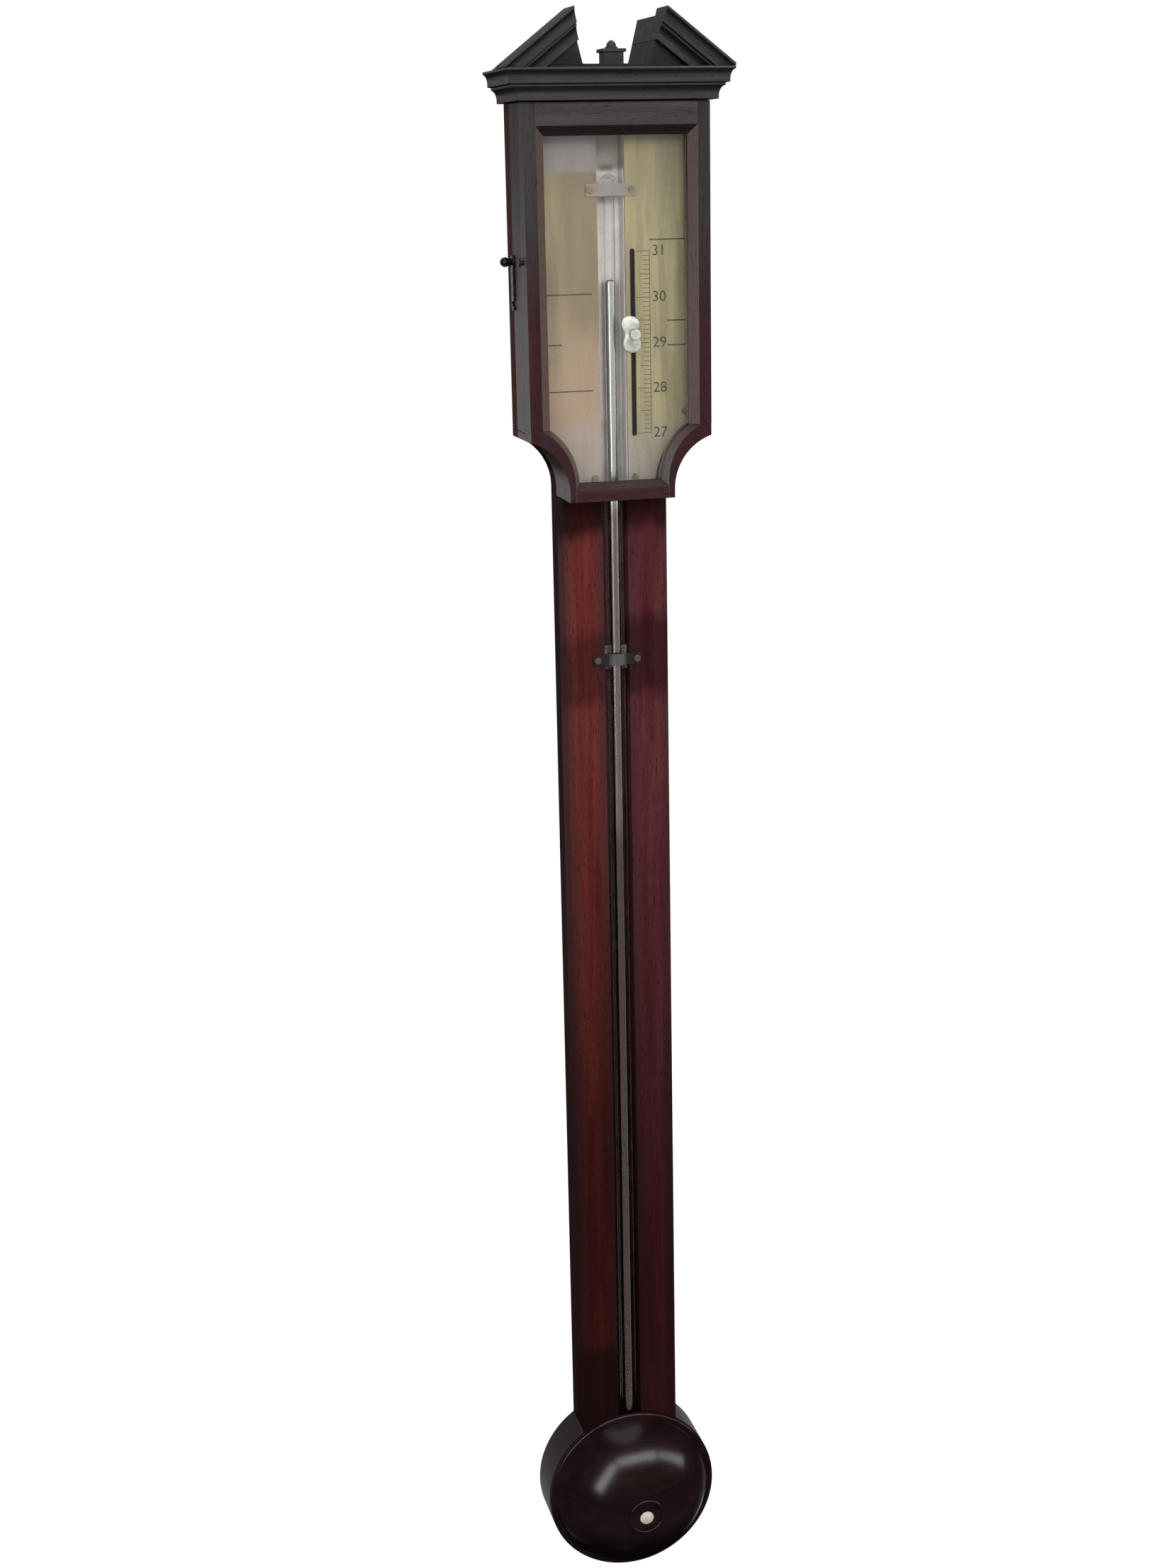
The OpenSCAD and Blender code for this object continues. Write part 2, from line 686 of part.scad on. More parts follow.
module cistern_cover() color(dark_mahogany) difference() {
    turned(trunk_d) difference() {
        union() {
            square([block_r - rim_t / 2, rim_t]);
            translate([block_r - rim_t / 2, rim_t / 2]) circle(r = rim_t / 2);
            intersection() {
                translate([0, ball_y]) circle(r = ball_r);
                square([block_r, rim_t + dome_h]);
            }
            translate([ring_r, ball_y + sqrt(ball_r * ball_r - ring_r * ring_r)]) circle(r = ring_bead_r);
        }
        translate([0, ball_y]) circle(r = ball_r - shell_t);
        translate([-block_r, -block_r]) square([2 * block_r, block_r]);
        translate([-block_r, -block_r]) square([block_r, 3 * block_r]);
        square([stem_r + glue_gap, 2 * block_r]);
    }
    tube_line(tube_r + 2 * slide_gap, cistern_z, cistern_z + block_r + over);
    cover_screw_holes();
}

// Long screws from behind, through the block and into the cover's rim
function cover_screw_places() = [
    for (a = [-150, -90, -30]) [cover_screw_ring * cos(a), cistern_z + cover_screw_ring * sin(a)]
];

module cover_screw_holes()
    for (p = cover_screw_places()) flush_screw_hole(p[0], p[1], 0, 1, cover_screw_len);

module cover_screws() color(brass)
    for (p = cover_screw_places()) flush_screw(p[0], p[1], 0, 1, cover_screw_len);

module cover_button() color(bone) turned(trunk_d + rim_t + dome_h) {
    translate([0, -shell_t]) square([stem_r, shell_t + button_h / 2]);
    intersection() {
        translate([0, button_h - button_ball_r]) circle(r = button_ball_r);
        square([button_r, button_h]);
    }
}

module cistern_body() color(boxwood) difference() {
    tube_line(cistern_r, body_bottom, cap_bottom);
    tube_line(cistern_r - cistern_wall, body_bottom - over, cap_bottom + over);
}

module cistern_cap() color(boxwood) difference() {
    union() {
        tube_line(cistern_r, cap_bottom, cap_top);
        tube_line(cistern_r - cistern_wall - glue_gap, cap_bottom - spigot_h, cap_bottom + over);
    }
    tube_line(tube_r + glue_gap, cistern_z, cap_top + over);
}

module cistern_leather() color(leather) tube_line(cistern_r, base_top, body_bottom);

module cistern_base() color(boxwood) difference() {
    tube_line(cistern_r, base_bottom, base_top);
    tube_line(base_hole_r, base_bottom - over, base_top + over);
}

module cistern_mercury() color(quicksilver) difference() {
    tube_line(cistern_r - cistern_wall - glue_gap, body_bottom, cistern_z);
    tube_line(tube_r + glue_gap, tube_end, cistern_z + over);
}

// Tube and register

module tube() color(tube_glass) difference() {
    union() {
        tube_line(tube_r, tube_end, tube_top - tube_r);
        translate([0, -tube_d, tube_top - tube_r]) sphere(r = tube_r);
    }
    tube_line(tube_bore / 2, tube_end - over, tube_top - tube_r);
    translate([0, -tube_d, tube_top - tube_r]) sphere(r = tube_bore / 2);
}

// The column of mercury, with the domed top that mercury has in glass
module mercury_column() color(quicksilver) {
    tube_line(mercury_r, tube_end, mark_z(mercury_in) - meniscus_h);
    intersection() {
        translate([0, -tube_d, mark_z(mercury_in) - meniscus_ball_r]) sphere(r = meniscus_ball_r);
        tube_line(mercury_r, mark_z(mercury_in) - meniscus_h, mark_z(mercury_in) + over);
    }
}

module channel_plate() color(silvered)
    block(-channel_w / 2, channel_w / 2, channel_floor_d, channel_floor_d + liner_t,
          head_floor, ground_top);

module register_plate() color(silvered) difference() {
    board(trunk_d, plate_front) right_of(plate_gap / 2)
        head_outline(wall_t + plate_margin, ground_top - plate_margin, head_floor + plate_margin);
    register_screw_holes(slide_gap / 2);
    rod(clip_screw_x, trunk_d - over, plate_front + over, upper_clip_z, screw_r + slide_gap / 2);
}

module vernier_slot() {
    block(slot_x - slot_w / 2, slot_x + slot_w / 2, trunk_d - over, plate_front + over,
          mark_z(scale_low), mark_z(scale_high));
    for (z = [mark_z(scale_low), mark_z(scale_high)])
        rod(slot_x, trunk_d - over, plate_front + over, z, slot_w / 2);
}

module register_screws() color(brass) for (s = [0, 1]) mirror([s, 0, 0])
    for (p = register_screw_places()) screw(p[0], plate_front, p[1]);

// A strap over the tube with a flat ear on each side, for a seat of [height, depth]
module tube_clip(seat) difference() {
    translate([0, 0, seat[0] - clip_h / 2]) linear_extrude(clip_h) difference() {
        union() {
            translate([0, -tube_d]) circle(r = tube_r + glue_gap + clip_t);
            translate([-clip_reach, -seat[1] - clip_t]) square([2 * clip_reach, clip_t]);
        }
        translate([0, -tube_d]) circle(r = tube_r + glue_gap);
        translate([-clip_reach, -seat[1]]) square([2 * clip_reach, trunk_d]);
    }
    for (s = [-1, 1])
        rod(s * clip_screw_x, seat[1] - over, seat[1] + clip_t + over, seat[0], screw_r + slide_gap / 2);
}

module clip_screws() color(brass)
    for (c = clip_seats, s = [-1, 1]) screw(s * clip_screw_x, c[1] + clip_t, c[0]);

module tube_pad() color(cork) difference() {
    block(-channel_w / 2, channel_w / 2, channel_floor_d, channel_floor_d + pad_t,
          lower_clip_z - clip_h, lower_clip_z + clip_h);
    tube_line(tube_r + glue_gap, lower_clip_z - 2 * clip_h, lower_clip_z + 2 * clip_h);
}

module vernier_plate() color(silvered) difference() {
    block(slot_x - vernier_reach, slot_x - vernier_reach + vernier_w, vernier_back, vernier_front,
          vernier_z - vernier_h / 2, vernier_z + vernier_h / 2);
    rod(slot_x, vernier_back - over, vernier_front + over, vernier_z, slot_w / 2 - slide_gap + glue_gap);
}

// A disc with rounded edges on a neck
module vernier_knob() color(silvered) {
    rod(slot_x, vernier_front, vernier_front + knob_neck_h + knob_edge_r, vernier_z, knob_neck_r);
    translate([slot_x, -vernier_front, vernier_z]) rotate([90, 0, 0]) rotate_extrude() {
        translate([0, knob_neck_h]) square([knob_r - knob_edge_r, knob_h - knob_neck_h]);
        translate([0, knob_neck_h + knob_edge_r]) square([knob_r, knob_h - knob_neck_h - 2 * knob_edge_r]);
        for (y = [knob_neck_h + knob_edge_r, knob_h - knob_edge_r])
            translate([knob_r - knob_edge_r, y]) circle(r = knob_edge_r);
    }
}

module vernier_shoe() color(brass) {
    block(slot_x - shoe_w / 2, slot_x + shoe_w / 2, trunk_d - shoe_t - slide_gap, trunk_d - slide_gap,
          vernier_z - shoe_h / 2, vernier_z + shoe_h / 2);
    rod(slot_x, trunk_d - shoe_t, vernier_front, vernier_z, slot_w / 2 - slide_gap);
}

// Door

module door_frame() color(dark_mahogany) difference() {
    board(door_back, door_front) head_outline(0, door_top, head_bottom);
    board(door_back - over, door_front + over) sight_outline(0);
    board(door_back - over, glass_front) sight_outline(rebate_w);
    hinge_room();
    hinge_screw_holes(door_back, 1);
    translate([-head_w / 2 - over, -catch_pin_d, hook_z]) rotate([0, 90, 0])
        cylinder(r = catch_pin_r + glue_gap, h = over + wall_t / 2);
}

// Section of what a splay of width w takes off: distance from the sight edge into the frame, and depth
function splay(w) = [
    [-over, door_front - splay_d * (1 + over / w)],
    [w + over, door_front + splay_d * over / w],
    [-over, door_front + splay_d * over / w]
];

module upright_splay(side, x, w, z0, z1) translate([0, 0, z0]) linear_extrude(z1 - z0)
    polygon([for (p = splay(w)) [side * (x + p[0]), -p[1]]]);

// Along a rail whose sight edge is at height z and whose wood lies up (1) or down (-1) from there
module rail_splay(z, way, w) translate([-head_w / 2, 0, 0]) rotate([90, 0, 90]) linear_extrude(head_w)
    polygon([for (p = splay(w)) [-p[1], z + way * p[0]]]);

module shoulder_splay(side) {
    intersection() {
        translate([side * shoulder_x, 0, sight_bottom]) rotate([90, 0, 0]) rotate_extrude()
            polygon([for (p = splay(low_splay_w)) [shoulder_r + door_shoulder_w - p[0], p[1]]]);
        block(-head_w / 2, head_w / 2, door_back, door_front + door_t, sight_bottom, stile_joint + over);
    }
    upright_splay(side, sight_neck, low_splay_w, sight_bottom - low_splay_w, sight_bottom);
}

// One member of the frame: the part of it inside an outline in X and Z, less its splay. The splays meet in
// a mitre, and from there the rails stand between the upright members.
module door_member(points) difference() {
    intersection() {
        door_frame();
        color(dark_mahogany) board(door_back - over, door_front + over) polygon(points);
    }
    children();
}

module door_stile(side) door_member([
    [side * sight_half, sight_top], [side * (sight_half + splay_w), sight_top + splay_w],
    [side * (sight_half + splay_w), door_top], [side * head_w / 2, door_top],
    [side * head_w / 2, stile_joint], [side * sight_half, stile_joint]
]) upright_splay(side, sight_half, splay_w, stile_joint - over, door_top + over);

module door_shoulder(side) door_member([
    [side * sight_neck, sight_bottom], [side * (sight_neck + low_splay_w), sight_bottom - low_splay_w],
    [side * (sight_neck + low_splay_w), head_bottom], [side * head_w / 2, head_bottom],
    [side * head_w / 2, stile_joint], [side * sight_neck, stile_joint]
]) shoulder_splay(side);

module door_top_rail() door_member([
    [-sight_half - splay_w, door_top], [sight_half + splay_w, door_top],
    [sight_half + splay_w, sight_top + splay_w], [sight_half, sight_top],
    [-sight_half, sight_top], [-sight_half - splay_w, sight_top + splay_w]
]) rail_splay(sight_top, 1, splay_w);

module door_bottom_rail() door_member([
    [-sight_neck - low_splay_w, head_bottom], [sight_neck + low_splay_w, head_bottom],
    [sight_neck + low_splay_w, sight_bottom - low_splay_w], [sight_neck, sight_bottom],
    [-sight_neck, sight_bottom], [-sight_neck - low_splay_w, sight_bottom - low_splay_w]
]) rail_splay(sight_bottom, -1, low_splay_w);

module door_glass() color(window_glass) board(glass_back, glass_front) sight_outline(rebate_w - slide_gap);

module glazing_bead() color(dark_mahogany) board(glass_back - bead_t, glass_back) difference() {
    sight_outline(rebate_w - slide_gap);
    sight_outline(0);
}

// Hinges, catch and hanger

// A rod on the line of the hinge whose middle is at height z, between heights above that hinge's foot
module knuckle(z, h0, h1, r) {
    translate([hinge_x, -hinge_d, z - hinge_h / 2 + h0]) cylinder(r = r, h = h1 - h0);
}

module leaf(z, d0, d1) {
    block(head_w / 2 - leaf_w, hinge_x, d0, d1, z - hinge_h / 2, z + hinge_h / 2);
}

// What the hinges take out of the case and the door
module hinge_room() for (z = hinge_zs) {
    knuckle(z, -slide_gap, hinge_h + slide_gap, knuckle_r + slide_gap);
    block(head_w / 2 - leaf_w - glue_gap, hinge_x, head_d - leaf_t - glue_gap, door_back + leaf_t + glue_gap,
          z - hinge_h / 2 - slide_gap, z + hinge_h / 2 + slide_gap);
}

module case_hinge_leaves() color(brass) difference() {
    for (z = hinge_zs) difference() {
        union() {
            leaf(z, head_d - leaf_t, head_d);
            for (h = [0, inner_knuckle_top]) knuckle(z, h, h + outer_knuckle_h, knuckle_r);
        }
        knuckle(z, outer_knuckle_h, inner_knuckle_top, knuckle_r + slide_gap);
        knuckle(z, -over, hinge_h + over, hinge_pin_r + glue_gap);
    }
    hinge_screw_holes(head_d, -1);
}

module door_hinge_leaves() color(brass) difference() {
    for (z = hinge_zs) difference() {
        union() {
            leaf(z, door_back, door_back + leaf_t);
            knuckle(z, outer_knuckle_h + slide_gap, inner_knuckle_top - slide_gap, knuckle_r);
        }
        knuckle(z, -over, outer_knuckle_h + slide_gap, knuckle_r + slide_gap);
        knuckle(z, inner_knuckle_top - slide_gap, hinge_h + over, knuckle_r + slide_gap);
        knuckle(z, -over, hinge_h + over, hinge_pin_r + running_gap);
    }
    hinge_screw_holes(door_back, 1);
}

module hinge_screw_holes(d, way)
    for (z = hinge_screw_zs) flush_screw_hole(hinge_screw_x, z, d, way, screw_len);

module hinge_screws(d, way) color(brass)
    for (z = hinge_screw_zs) flush_screw(hinge_screw_x, z, d, way, screw_len);

module hinge_pins() color(brass) for (z = hinge_zs) knuckle(z, 0, hinge_h, hinge_pin_r);

// The hook hangs straight down. Its notch opens forwards and takes the pin when the hook is swung up.
module catch_hook() color(brass) translate([hook_x, -hook_d, hook_z]) rotate([0, -90, 0])
    linear_extrude(hook_t) difference() {
        union() {
            circle(r = hook_eye_r);
            translate([-hook_reach, -hook_w / 2]) square([hook_reach, hook_w]);
            translate([-hook_reach - hook_nose + hook_w / 2, 0]) circle(r = hook_w / 2);
            translate([-hook_reach - hook_nose + hook_w / 2, -hook_w / 2]) square([hook_nose, hook_w]);
        }
        circle(r = pivot_r + running_gap);
        translate([-hook_reach, 0]) circle(r = catch_pin_r + slide_gap);
        translate([-hook_reach - catch_pin_r - slide_gap, -hook_w])
            square([2 * (catch_pin_r + slide_gap), hook_w]);
    }

// A knob-headed screw through the hook into the case's side, turned about X
module catch_pivot() color(brass) translate([-head_w / 2, -hook_d, hook_z]) rotate([0, -90, 0]) {
    translate([0, 0, -wall_t / 2]) cylinder(r = pivot_r, h = wall_t / 2 + hook_t + 3 * slide_gap);
    translate([0, 0, hook_t + 2 * slide_gap]) cylinder(r = pivot_neck_r, h = pivot_neck_h + pivot_knob_r);
    translate([0, 0, hook_t + 2 * slide_gap + pivot_neck_h + pivot_knob_r]) sphere(r = pivot_knob_r);
}

module catch_pin() color(brass) translate([-head_w / 2, -catch_pin_d, hook_z]) rotate([0, -90, 0]) {
    translate([0, 0, -wall_t / 2]) cylinder(r = catch_pin_r, h = wall_t / 2 + hook_t + 3 * slide_gap);
    translate([0, 0, hook_t + 2 * slide_gap]) cylinder(r = catch_head_r, h = catch_pin_r);
}

module pivot_hole() translate([-head_w / 2 - over, -hook_d, hook_z]) rotate([0, 90, 0])
    cylinder(r = pivot_r + glue_gap, h = over + wall_t / 2);

module hanging_plate() color(brass) difference() {
    board(0, hang_plate_t) hang_outline(0);
    rod(0, -over, hang_plate_t + over, 0, hang_hole_r);
    block(-hang_slot_w / 2, hang_slot_w / 2, -over, hang_plate_t + over, 0, hang_slot_h);
    for (s = [-1, 1]) flush_screw_hole(0, s * hang_screw_z, 0, 1, screw_len);
}

module hanging_screws() color(brass) for (s = [-1, 1]) flush_screw(0, s * hang_screw_z, 0, 1, screw_len);

backboard();
on_left() trunk_front();  // trunk_front_left
trunk_front();  // trunk_front_right
channel_fillet();
difference() {  // head_side_left
    on_left() head_side();
    pivot_hole();
}
difference() {  // head_side_right
    head_side();
    hinge_room();
    hinge_screw_holes(head_d, -1);
}
head_top_rail();
on_left() shoulder();  // shoulder_left
shoulder();  // shoulder_right
on_left() register_ground();  // register_ground_left
difference() {  // register_ground_right
    register_ground();
    shoe_groove();
}
entablature();
cornice_front();
on_left() cornice_return();  // cornice_return_left
cornice_return();  // cornice_return_right
pediment_block();
on_left() rake();  // rake_left
rake();  // rake_right
finial_plinth();
finial();
cistern_block();
cistern_cover();
cover_button();
cover_screws();
cistern_body();
cistern_cap();
cistern_leather();
cistern_base();
cistern_mercury();
tube();
mercury_column();
channel_plate();
on_left() register_plate();  // register_plate_left
difference() {  // register_plate_right
    register_plate();
    vernier_slot();
}
register_screws();
color(silvered) tube_clip(clip_seats[0]);  // tube_clip_upper
color(brass) tube_clip(clip_seats[1]);  // tube_clip_lower
clip_screws();
tube_pad();
vernier_plate();
vernier_knob();
vernier_shoe();
door_top_rail();
door_stile(-1);  // door_stile_left
door_stile(1);  // door_stile_right
door_shoulder(-1);  // door_shoulder_left
door_shoulder(1);  // door_shoulder_right
door_bottom_rail();
door_glass();
glazing_bead();
case_hinge_leaves();
door_hinge_leaves();
hinge_pins();
hinge_screws(head_d, -1);  // case_hinge_screws
hinge_screws(door_back, 1);  // door_hinge_screws
catch_hook();
catch_pivot();
catch_pin();
hanging_plate();
hanging_screws();
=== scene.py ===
import math

import bpy
import numpy as np
from mathutils import Matrix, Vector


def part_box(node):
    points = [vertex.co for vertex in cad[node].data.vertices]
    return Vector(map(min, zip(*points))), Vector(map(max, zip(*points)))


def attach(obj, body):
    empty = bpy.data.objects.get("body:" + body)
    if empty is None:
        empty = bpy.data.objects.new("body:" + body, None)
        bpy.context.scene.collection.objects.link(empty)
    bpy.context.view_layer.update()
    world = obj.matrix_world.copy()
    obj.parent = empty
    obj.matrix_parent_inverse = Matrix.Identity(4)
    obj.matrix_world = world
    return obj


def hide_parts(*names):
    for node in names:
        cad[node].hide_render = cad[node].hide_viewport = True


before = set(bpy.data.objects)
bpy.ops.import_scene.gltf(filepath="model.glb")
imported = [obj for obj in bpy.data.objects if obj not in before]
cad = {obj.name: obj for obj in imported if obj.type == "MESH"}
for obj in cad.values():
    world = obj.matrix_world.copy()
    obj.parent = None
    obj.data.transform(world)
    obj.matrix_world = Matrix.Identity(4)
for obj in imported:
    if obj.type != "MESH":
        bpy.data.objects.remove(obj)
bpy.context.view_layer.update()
mm = 0.001
print("frame:", len(cad), "nodes")


# Camera, where the photograph was taken from
photoCamera = {
    "place": (-338.45, -1252.25, -3.05),  # mm
    "yaw": 14.594, "pitch": -15.432, "roll": 1.178,  # degrees
    "focal": 3110.2, "imageHeight": 2212,  # pixels of the photograph
    "sensor": 36.0,  # mm
    "nearest": 0.02,  # m
}


def placeCamera(spec):
    data = bpy.data.cameras.new("photoCamera")
    data.sensor_width = spec["sensor"]
    data.lens = spec["focal"] * spec["sensor"] / spec["imageHeight"]
    data.clip_start = spec["nearest"]
    camera = bpy.data.objects.new("photoCamera", data)
    bpy.context.scene.collection.objects.link(camera)
    turns = (Matrix.Rotation(math.radians(-spec["yaw"]), 4, "Z")
             @ Matrix.Rotation(math.radians(spec["pitch"]), 4, "X")
             @ Matrix.Rotation(math.radians(spec["roll"]), 4, "Y")
             @ Matrix.Rotation(math.pi / 2, 4, "X"))
    camera.matrix_world = Matrix.Translation([v * mm for v in spec["place"]]) @ turns
    bpy.context.scene.camera = camera


placeCamera(photoCamera)
bpy.context.scene.view_settings.view_transform = "Standard"


# Shader maths: a wrapped socket, on which an expression adds its Math nodes
class Shade:
    def __init__(self, tree, socket=None):
        self.tree = tree
        self.socket = socket

    # Any node: its type, its settings, the values or links of its sockets, and the output to go on with
    def node(self, kind, settings=None, inputs=None, output=0):
        made = self.tree.nodes.new(kind)
        for name, value in (settings or {}).items():
            if name == "stops":
                self.setStops(made.color_ramp, value)
            else:
                setattr(made, name, value)
        for name, value in (inputs or {}).items():
            if isinstance(value, Shade):
                self.tree.links.new(value.socket, made.inputs[name])
            else:
                made.inputs[name].default_value = value
        return Shade(self.tree, made.outputs[output]) if made.outputs else made

    def setStops(self, ramp, stops):
        while len(ramp.elements) < len(stops):
            ramp.elements.new(1)
        for element, (position, tone) in zip(ramp.elements, stops):
            element.position = position
            element.color = colour(tone)

    def maths(self, operation, *values):
        return self.node("ShaderNodeMath", {"operation": operation}, dict(enumerate(values)))

    def __add__(self, other):
        return self.maths("ADD", self, other)

    def __sub__(self, other):
        return self.maths("SUBTRACT", self, other)

    def __rsub__(self, other):
        return self.maths("SUBTRACT", other, self)

    def __mul__(self, other):
        return self.maths("MULTIPLY", self, other)

    def larger(self, other):
        return self.maths("MAXIMUM", self, other)

    def size(self):
        return self.maths("ABSOLUTE", self)

    # A smooth step from 0 at one value to 1 at another
    def step(self, low, high):
        return self.node("ShaderNodeMapRange", {"interpolation_type": "SMOOTHSTEP"},
                         {"Value": self, "From Min": low, "From Max": high})

    def tint(self, low, high):
        return self.node("ShaderNodeMix", {"data_type": "RGBA"}, {0: self, 6: colour(low), 7: colour(high)}, 2)

    def ramp(self, stops):
        return self.node("ShaderNodeValToRGB", {"stops": stops}, {"Fac": self})


def colour(value):
    return value if isinstance(value, Shade) else (*value, 1)


# A new material, the shade to build it on and the place on the object
def startMaterial(name):
    material = bpy.data.materials.new(name)
    material.use_nodes = True
    material.node_tree.nodes.clear()
    shade = Shade(material.node_tree)
    return material, shade, shade.node("ShaderNodeTexCoord", output="Object")


def closeMaterial(shade, surface):
    shade.node("ShaderNodeOutputMaterial", inputs={"Surface": surface})


# A place stretched, turned and moved on, by another share of the offset along each axis
offsetShares = (1, 0.7, 1.3)


def stretched(place, scale, offset=0.0, turn=(0, 0, 0)):
    return place.node("ShaderNodeMapping", inputs={
        "Vector": place, "Rotation": turn, "Scale": scale,
        "Location": [offset * part for part in offsetShares]})


def noise(place, scale, detail=2.0, roughness=0.5, distortion=0.0):
    return place.node("ShaderNodeTexNoise", inputs={
        "Vector": place, "Scale": scale, "Detail": detail, "Roughness": roughness, "Distortion": distortion})


# 1 where a value lies within half of the width of a middle, 0 outside, over a soft edge
def band(value, middle, width, soft):
    return (value - middle).size().step(width / 2 + soft, width / 2)


def bump(height, strength, distance):
    return height.node("ShaderNodeBump", inputs={
        "Height": height, "Strength": strength, "Distance": distance})


def axes(place):
    split = place.tree.nodes.new("ShaderNodeSeparateXYZ")
    place.tree.links.new(place.socket, split.inputs[0])
    return [Shade(place.tree, output) for output in split.outputs]


# Wood: broad figure, ribbons and fine grain along a board, with open pores and a polish that lies over them.
# A Run is where a smooth step begins and ends, and a Share is how much of a thing is mixed in.
grainTurns = {"z": (0, 0, 0), "x": (0, math.pi / 2, 0), "y": (math.pi / 2, 0, 0)}
grainLook = {
    "stretch": 0.045, "poreStretch": 0.07,  # along the grain, against across it
    "fine": 1500, "pores": 2600, "poreRun": (0.62, 0.74),
    "broadShare": 0.5, "ribbonShare": 0.32, "fineShare": 0.18, "stops": (0.3, 0.46, 0.62),
    "frontRun": (0.2, 0.8), "underRun": (0.1, 0.5), "slopeRun": (0.3, 0.6), "sideSheenTurn": (0.5, 0.9),
    "edgeShare": 0.85, "lowShare": 0.5, "under": (0.002, 0.0015, 0.0015), "underShare": 0.75,
    "drift": 0.03, "shadeSoft": 0.012, "liningSoft": 0.0004,  # m
    "poreDull": 0.4, "poreRough": 0.15, "ribbonRough": 0.2,
    "fineHeight": 0.3, "poreHeight": 0.7, "ribbonHeight": 0.3, "depth": 0.00012,
    "nextBoard": 0.173,  # how far the pattern moves on from one board to the next
}


def woodMaterial(name, look, grain, offset, box):
    material, shade, place = startMaterial(name)
    x, _, z = axes(place)
    nx, ny, nz = axes(place.node("ShaderNodeTexCoord", output="Normal"))
    front = (0 - ny).step(*grainLook["frontRun"])
    # Faces that look down, which get painted shade
    under = (0 - nz).step(*grainLook["underRun"])
    turned = stretched(place, (1, 1, 1), offset, grainTurns.get(grain, grain))
    along = stretched(turned, (1, 1, grainLook["stretch"]))
    broad = noise(along, look["figure"], 2.0, 0.55, 0.7)
    ribbon = noise(along, look["ribbon"], 2.0, 0.5, 0.3)
    fine = noise(along, grainLook["fine"], 3.0, 0.6)
    pits = noise(stretched(turned, (1, 1, grainLook["poreStretch"])), grainLook["pores"], 1.0, 0.4)
    pores = pits.step(*grainLook["poreRun"])
    drift = z + (broad - 0.5) * grainLook["drift"]

    mixed = broad * grainLook["broadShare"] + ribbon * grainLook["ribbonShare"] + fine * grainLook["fineShare"]
    tone = mixed.ramp(list(zip(grainLook["stops"], (look["deep"], look["middle"], look["light"]))))
    polish = front * (look["polish"] - look["sidePolish"]) + look["sidePolish"]
    polish = polish * (1 - pores * grainLook["poreDull"])
    if "edge" in look:
        low, high = box
        inside = (x - low.x).step(0, look["edgeWidth"]) * (high.x - x).step(0, look["edgeWidth"])
        tone = (inside * grainLook["edgeShare"] + (1 - grainLook["edgeShare"])).tint(look["edge"], tone)
    if "low" in look:
        lower = (ribbon * grainLook["lowShare"]).tint(look["low"], tone)
        tone = (drift.step(*look["lowRun"]) * front).tint(tone, lower)
    # Painted light: faces that turn both to the side and to the front, such as the splayed inner edges of the
    # door, are painted a lighter brown
    if "slope" in look:
        sloped = nx.size().step(*grainLook["slopeRun"]) * (0 - ny).step(*grainLook["slopeRun"])
        tone = sloped.tint(tone, look["slope"])
    # Painted shade: from the top of the fade to its bottom the wood darkens and its polish thins, as the light
    # falls off down the trunk
    if "fade" in look:
        top, bottom, least = look["fade"]
        lightLeft = z.step(bottom, top) * (1 - least) + least
        tone = lightLeft.tint((0, 0, 0), tone)
        polish = polish * lightLeft
    # Darker bands in the pore colour; the one under the head is the head's painted shadow
    for middle, width, amount in look.get("shades", ()):
        tone = (band(drift, middle, width, grainLook["shadeSoft"]) * amount).tint(tone, look["poreAndShade"])
    # Painted reflection: faces turned to the left are painted a pale grey sheen within a band of height
    if "sideSheen" in look:
        paintedSheen = (0 - nx).step(*grainLook["sideSheenTurn"]) * drift.step(*look["sideSheenRun"])
        tone = paintedSheen.tint(tone, look["sideSheen"])
    if "lining" in look:
        lined = z.step(*look["aboveRun"]).tint(look["lining"], look["above"])
        tone = band(x, 0, 2 * look["liningHalf"], grainLook["liningSoft"]).tint(tone, lined)
    tone = (pores * look["poreDark"]).tint(tone, look["poreAndShade"])
    # Painted shade: faces that look down are darkened towards near black and lose their polish
    tone = (under * grainLook["underShare"]).tint(tone, grainLook["under"])

    height = (fine * grainLook["fineHeight"] - pores * grainLook["poreHeight"]
              + ribbon * grainLook["ribbonHeight"])
    surface = shade.node("ShaderNodeBsdfPrincipled", inputs={
        "Base Color": tone,
        "Roughness": ribbon * grainLook["ribbonRough"] + look["roughness"] + pores * grainLook["poreRough"],
        "Specular IOR Level": look["specular"],
        "Coat Weight": polish * (1 - under),
        "Coat Roughness": look["polishRoughness"],
        "Normal": bump(height, look["bump"], grainLook["depth"]),
    })
    closeMaterial(shade, surface)
    return material


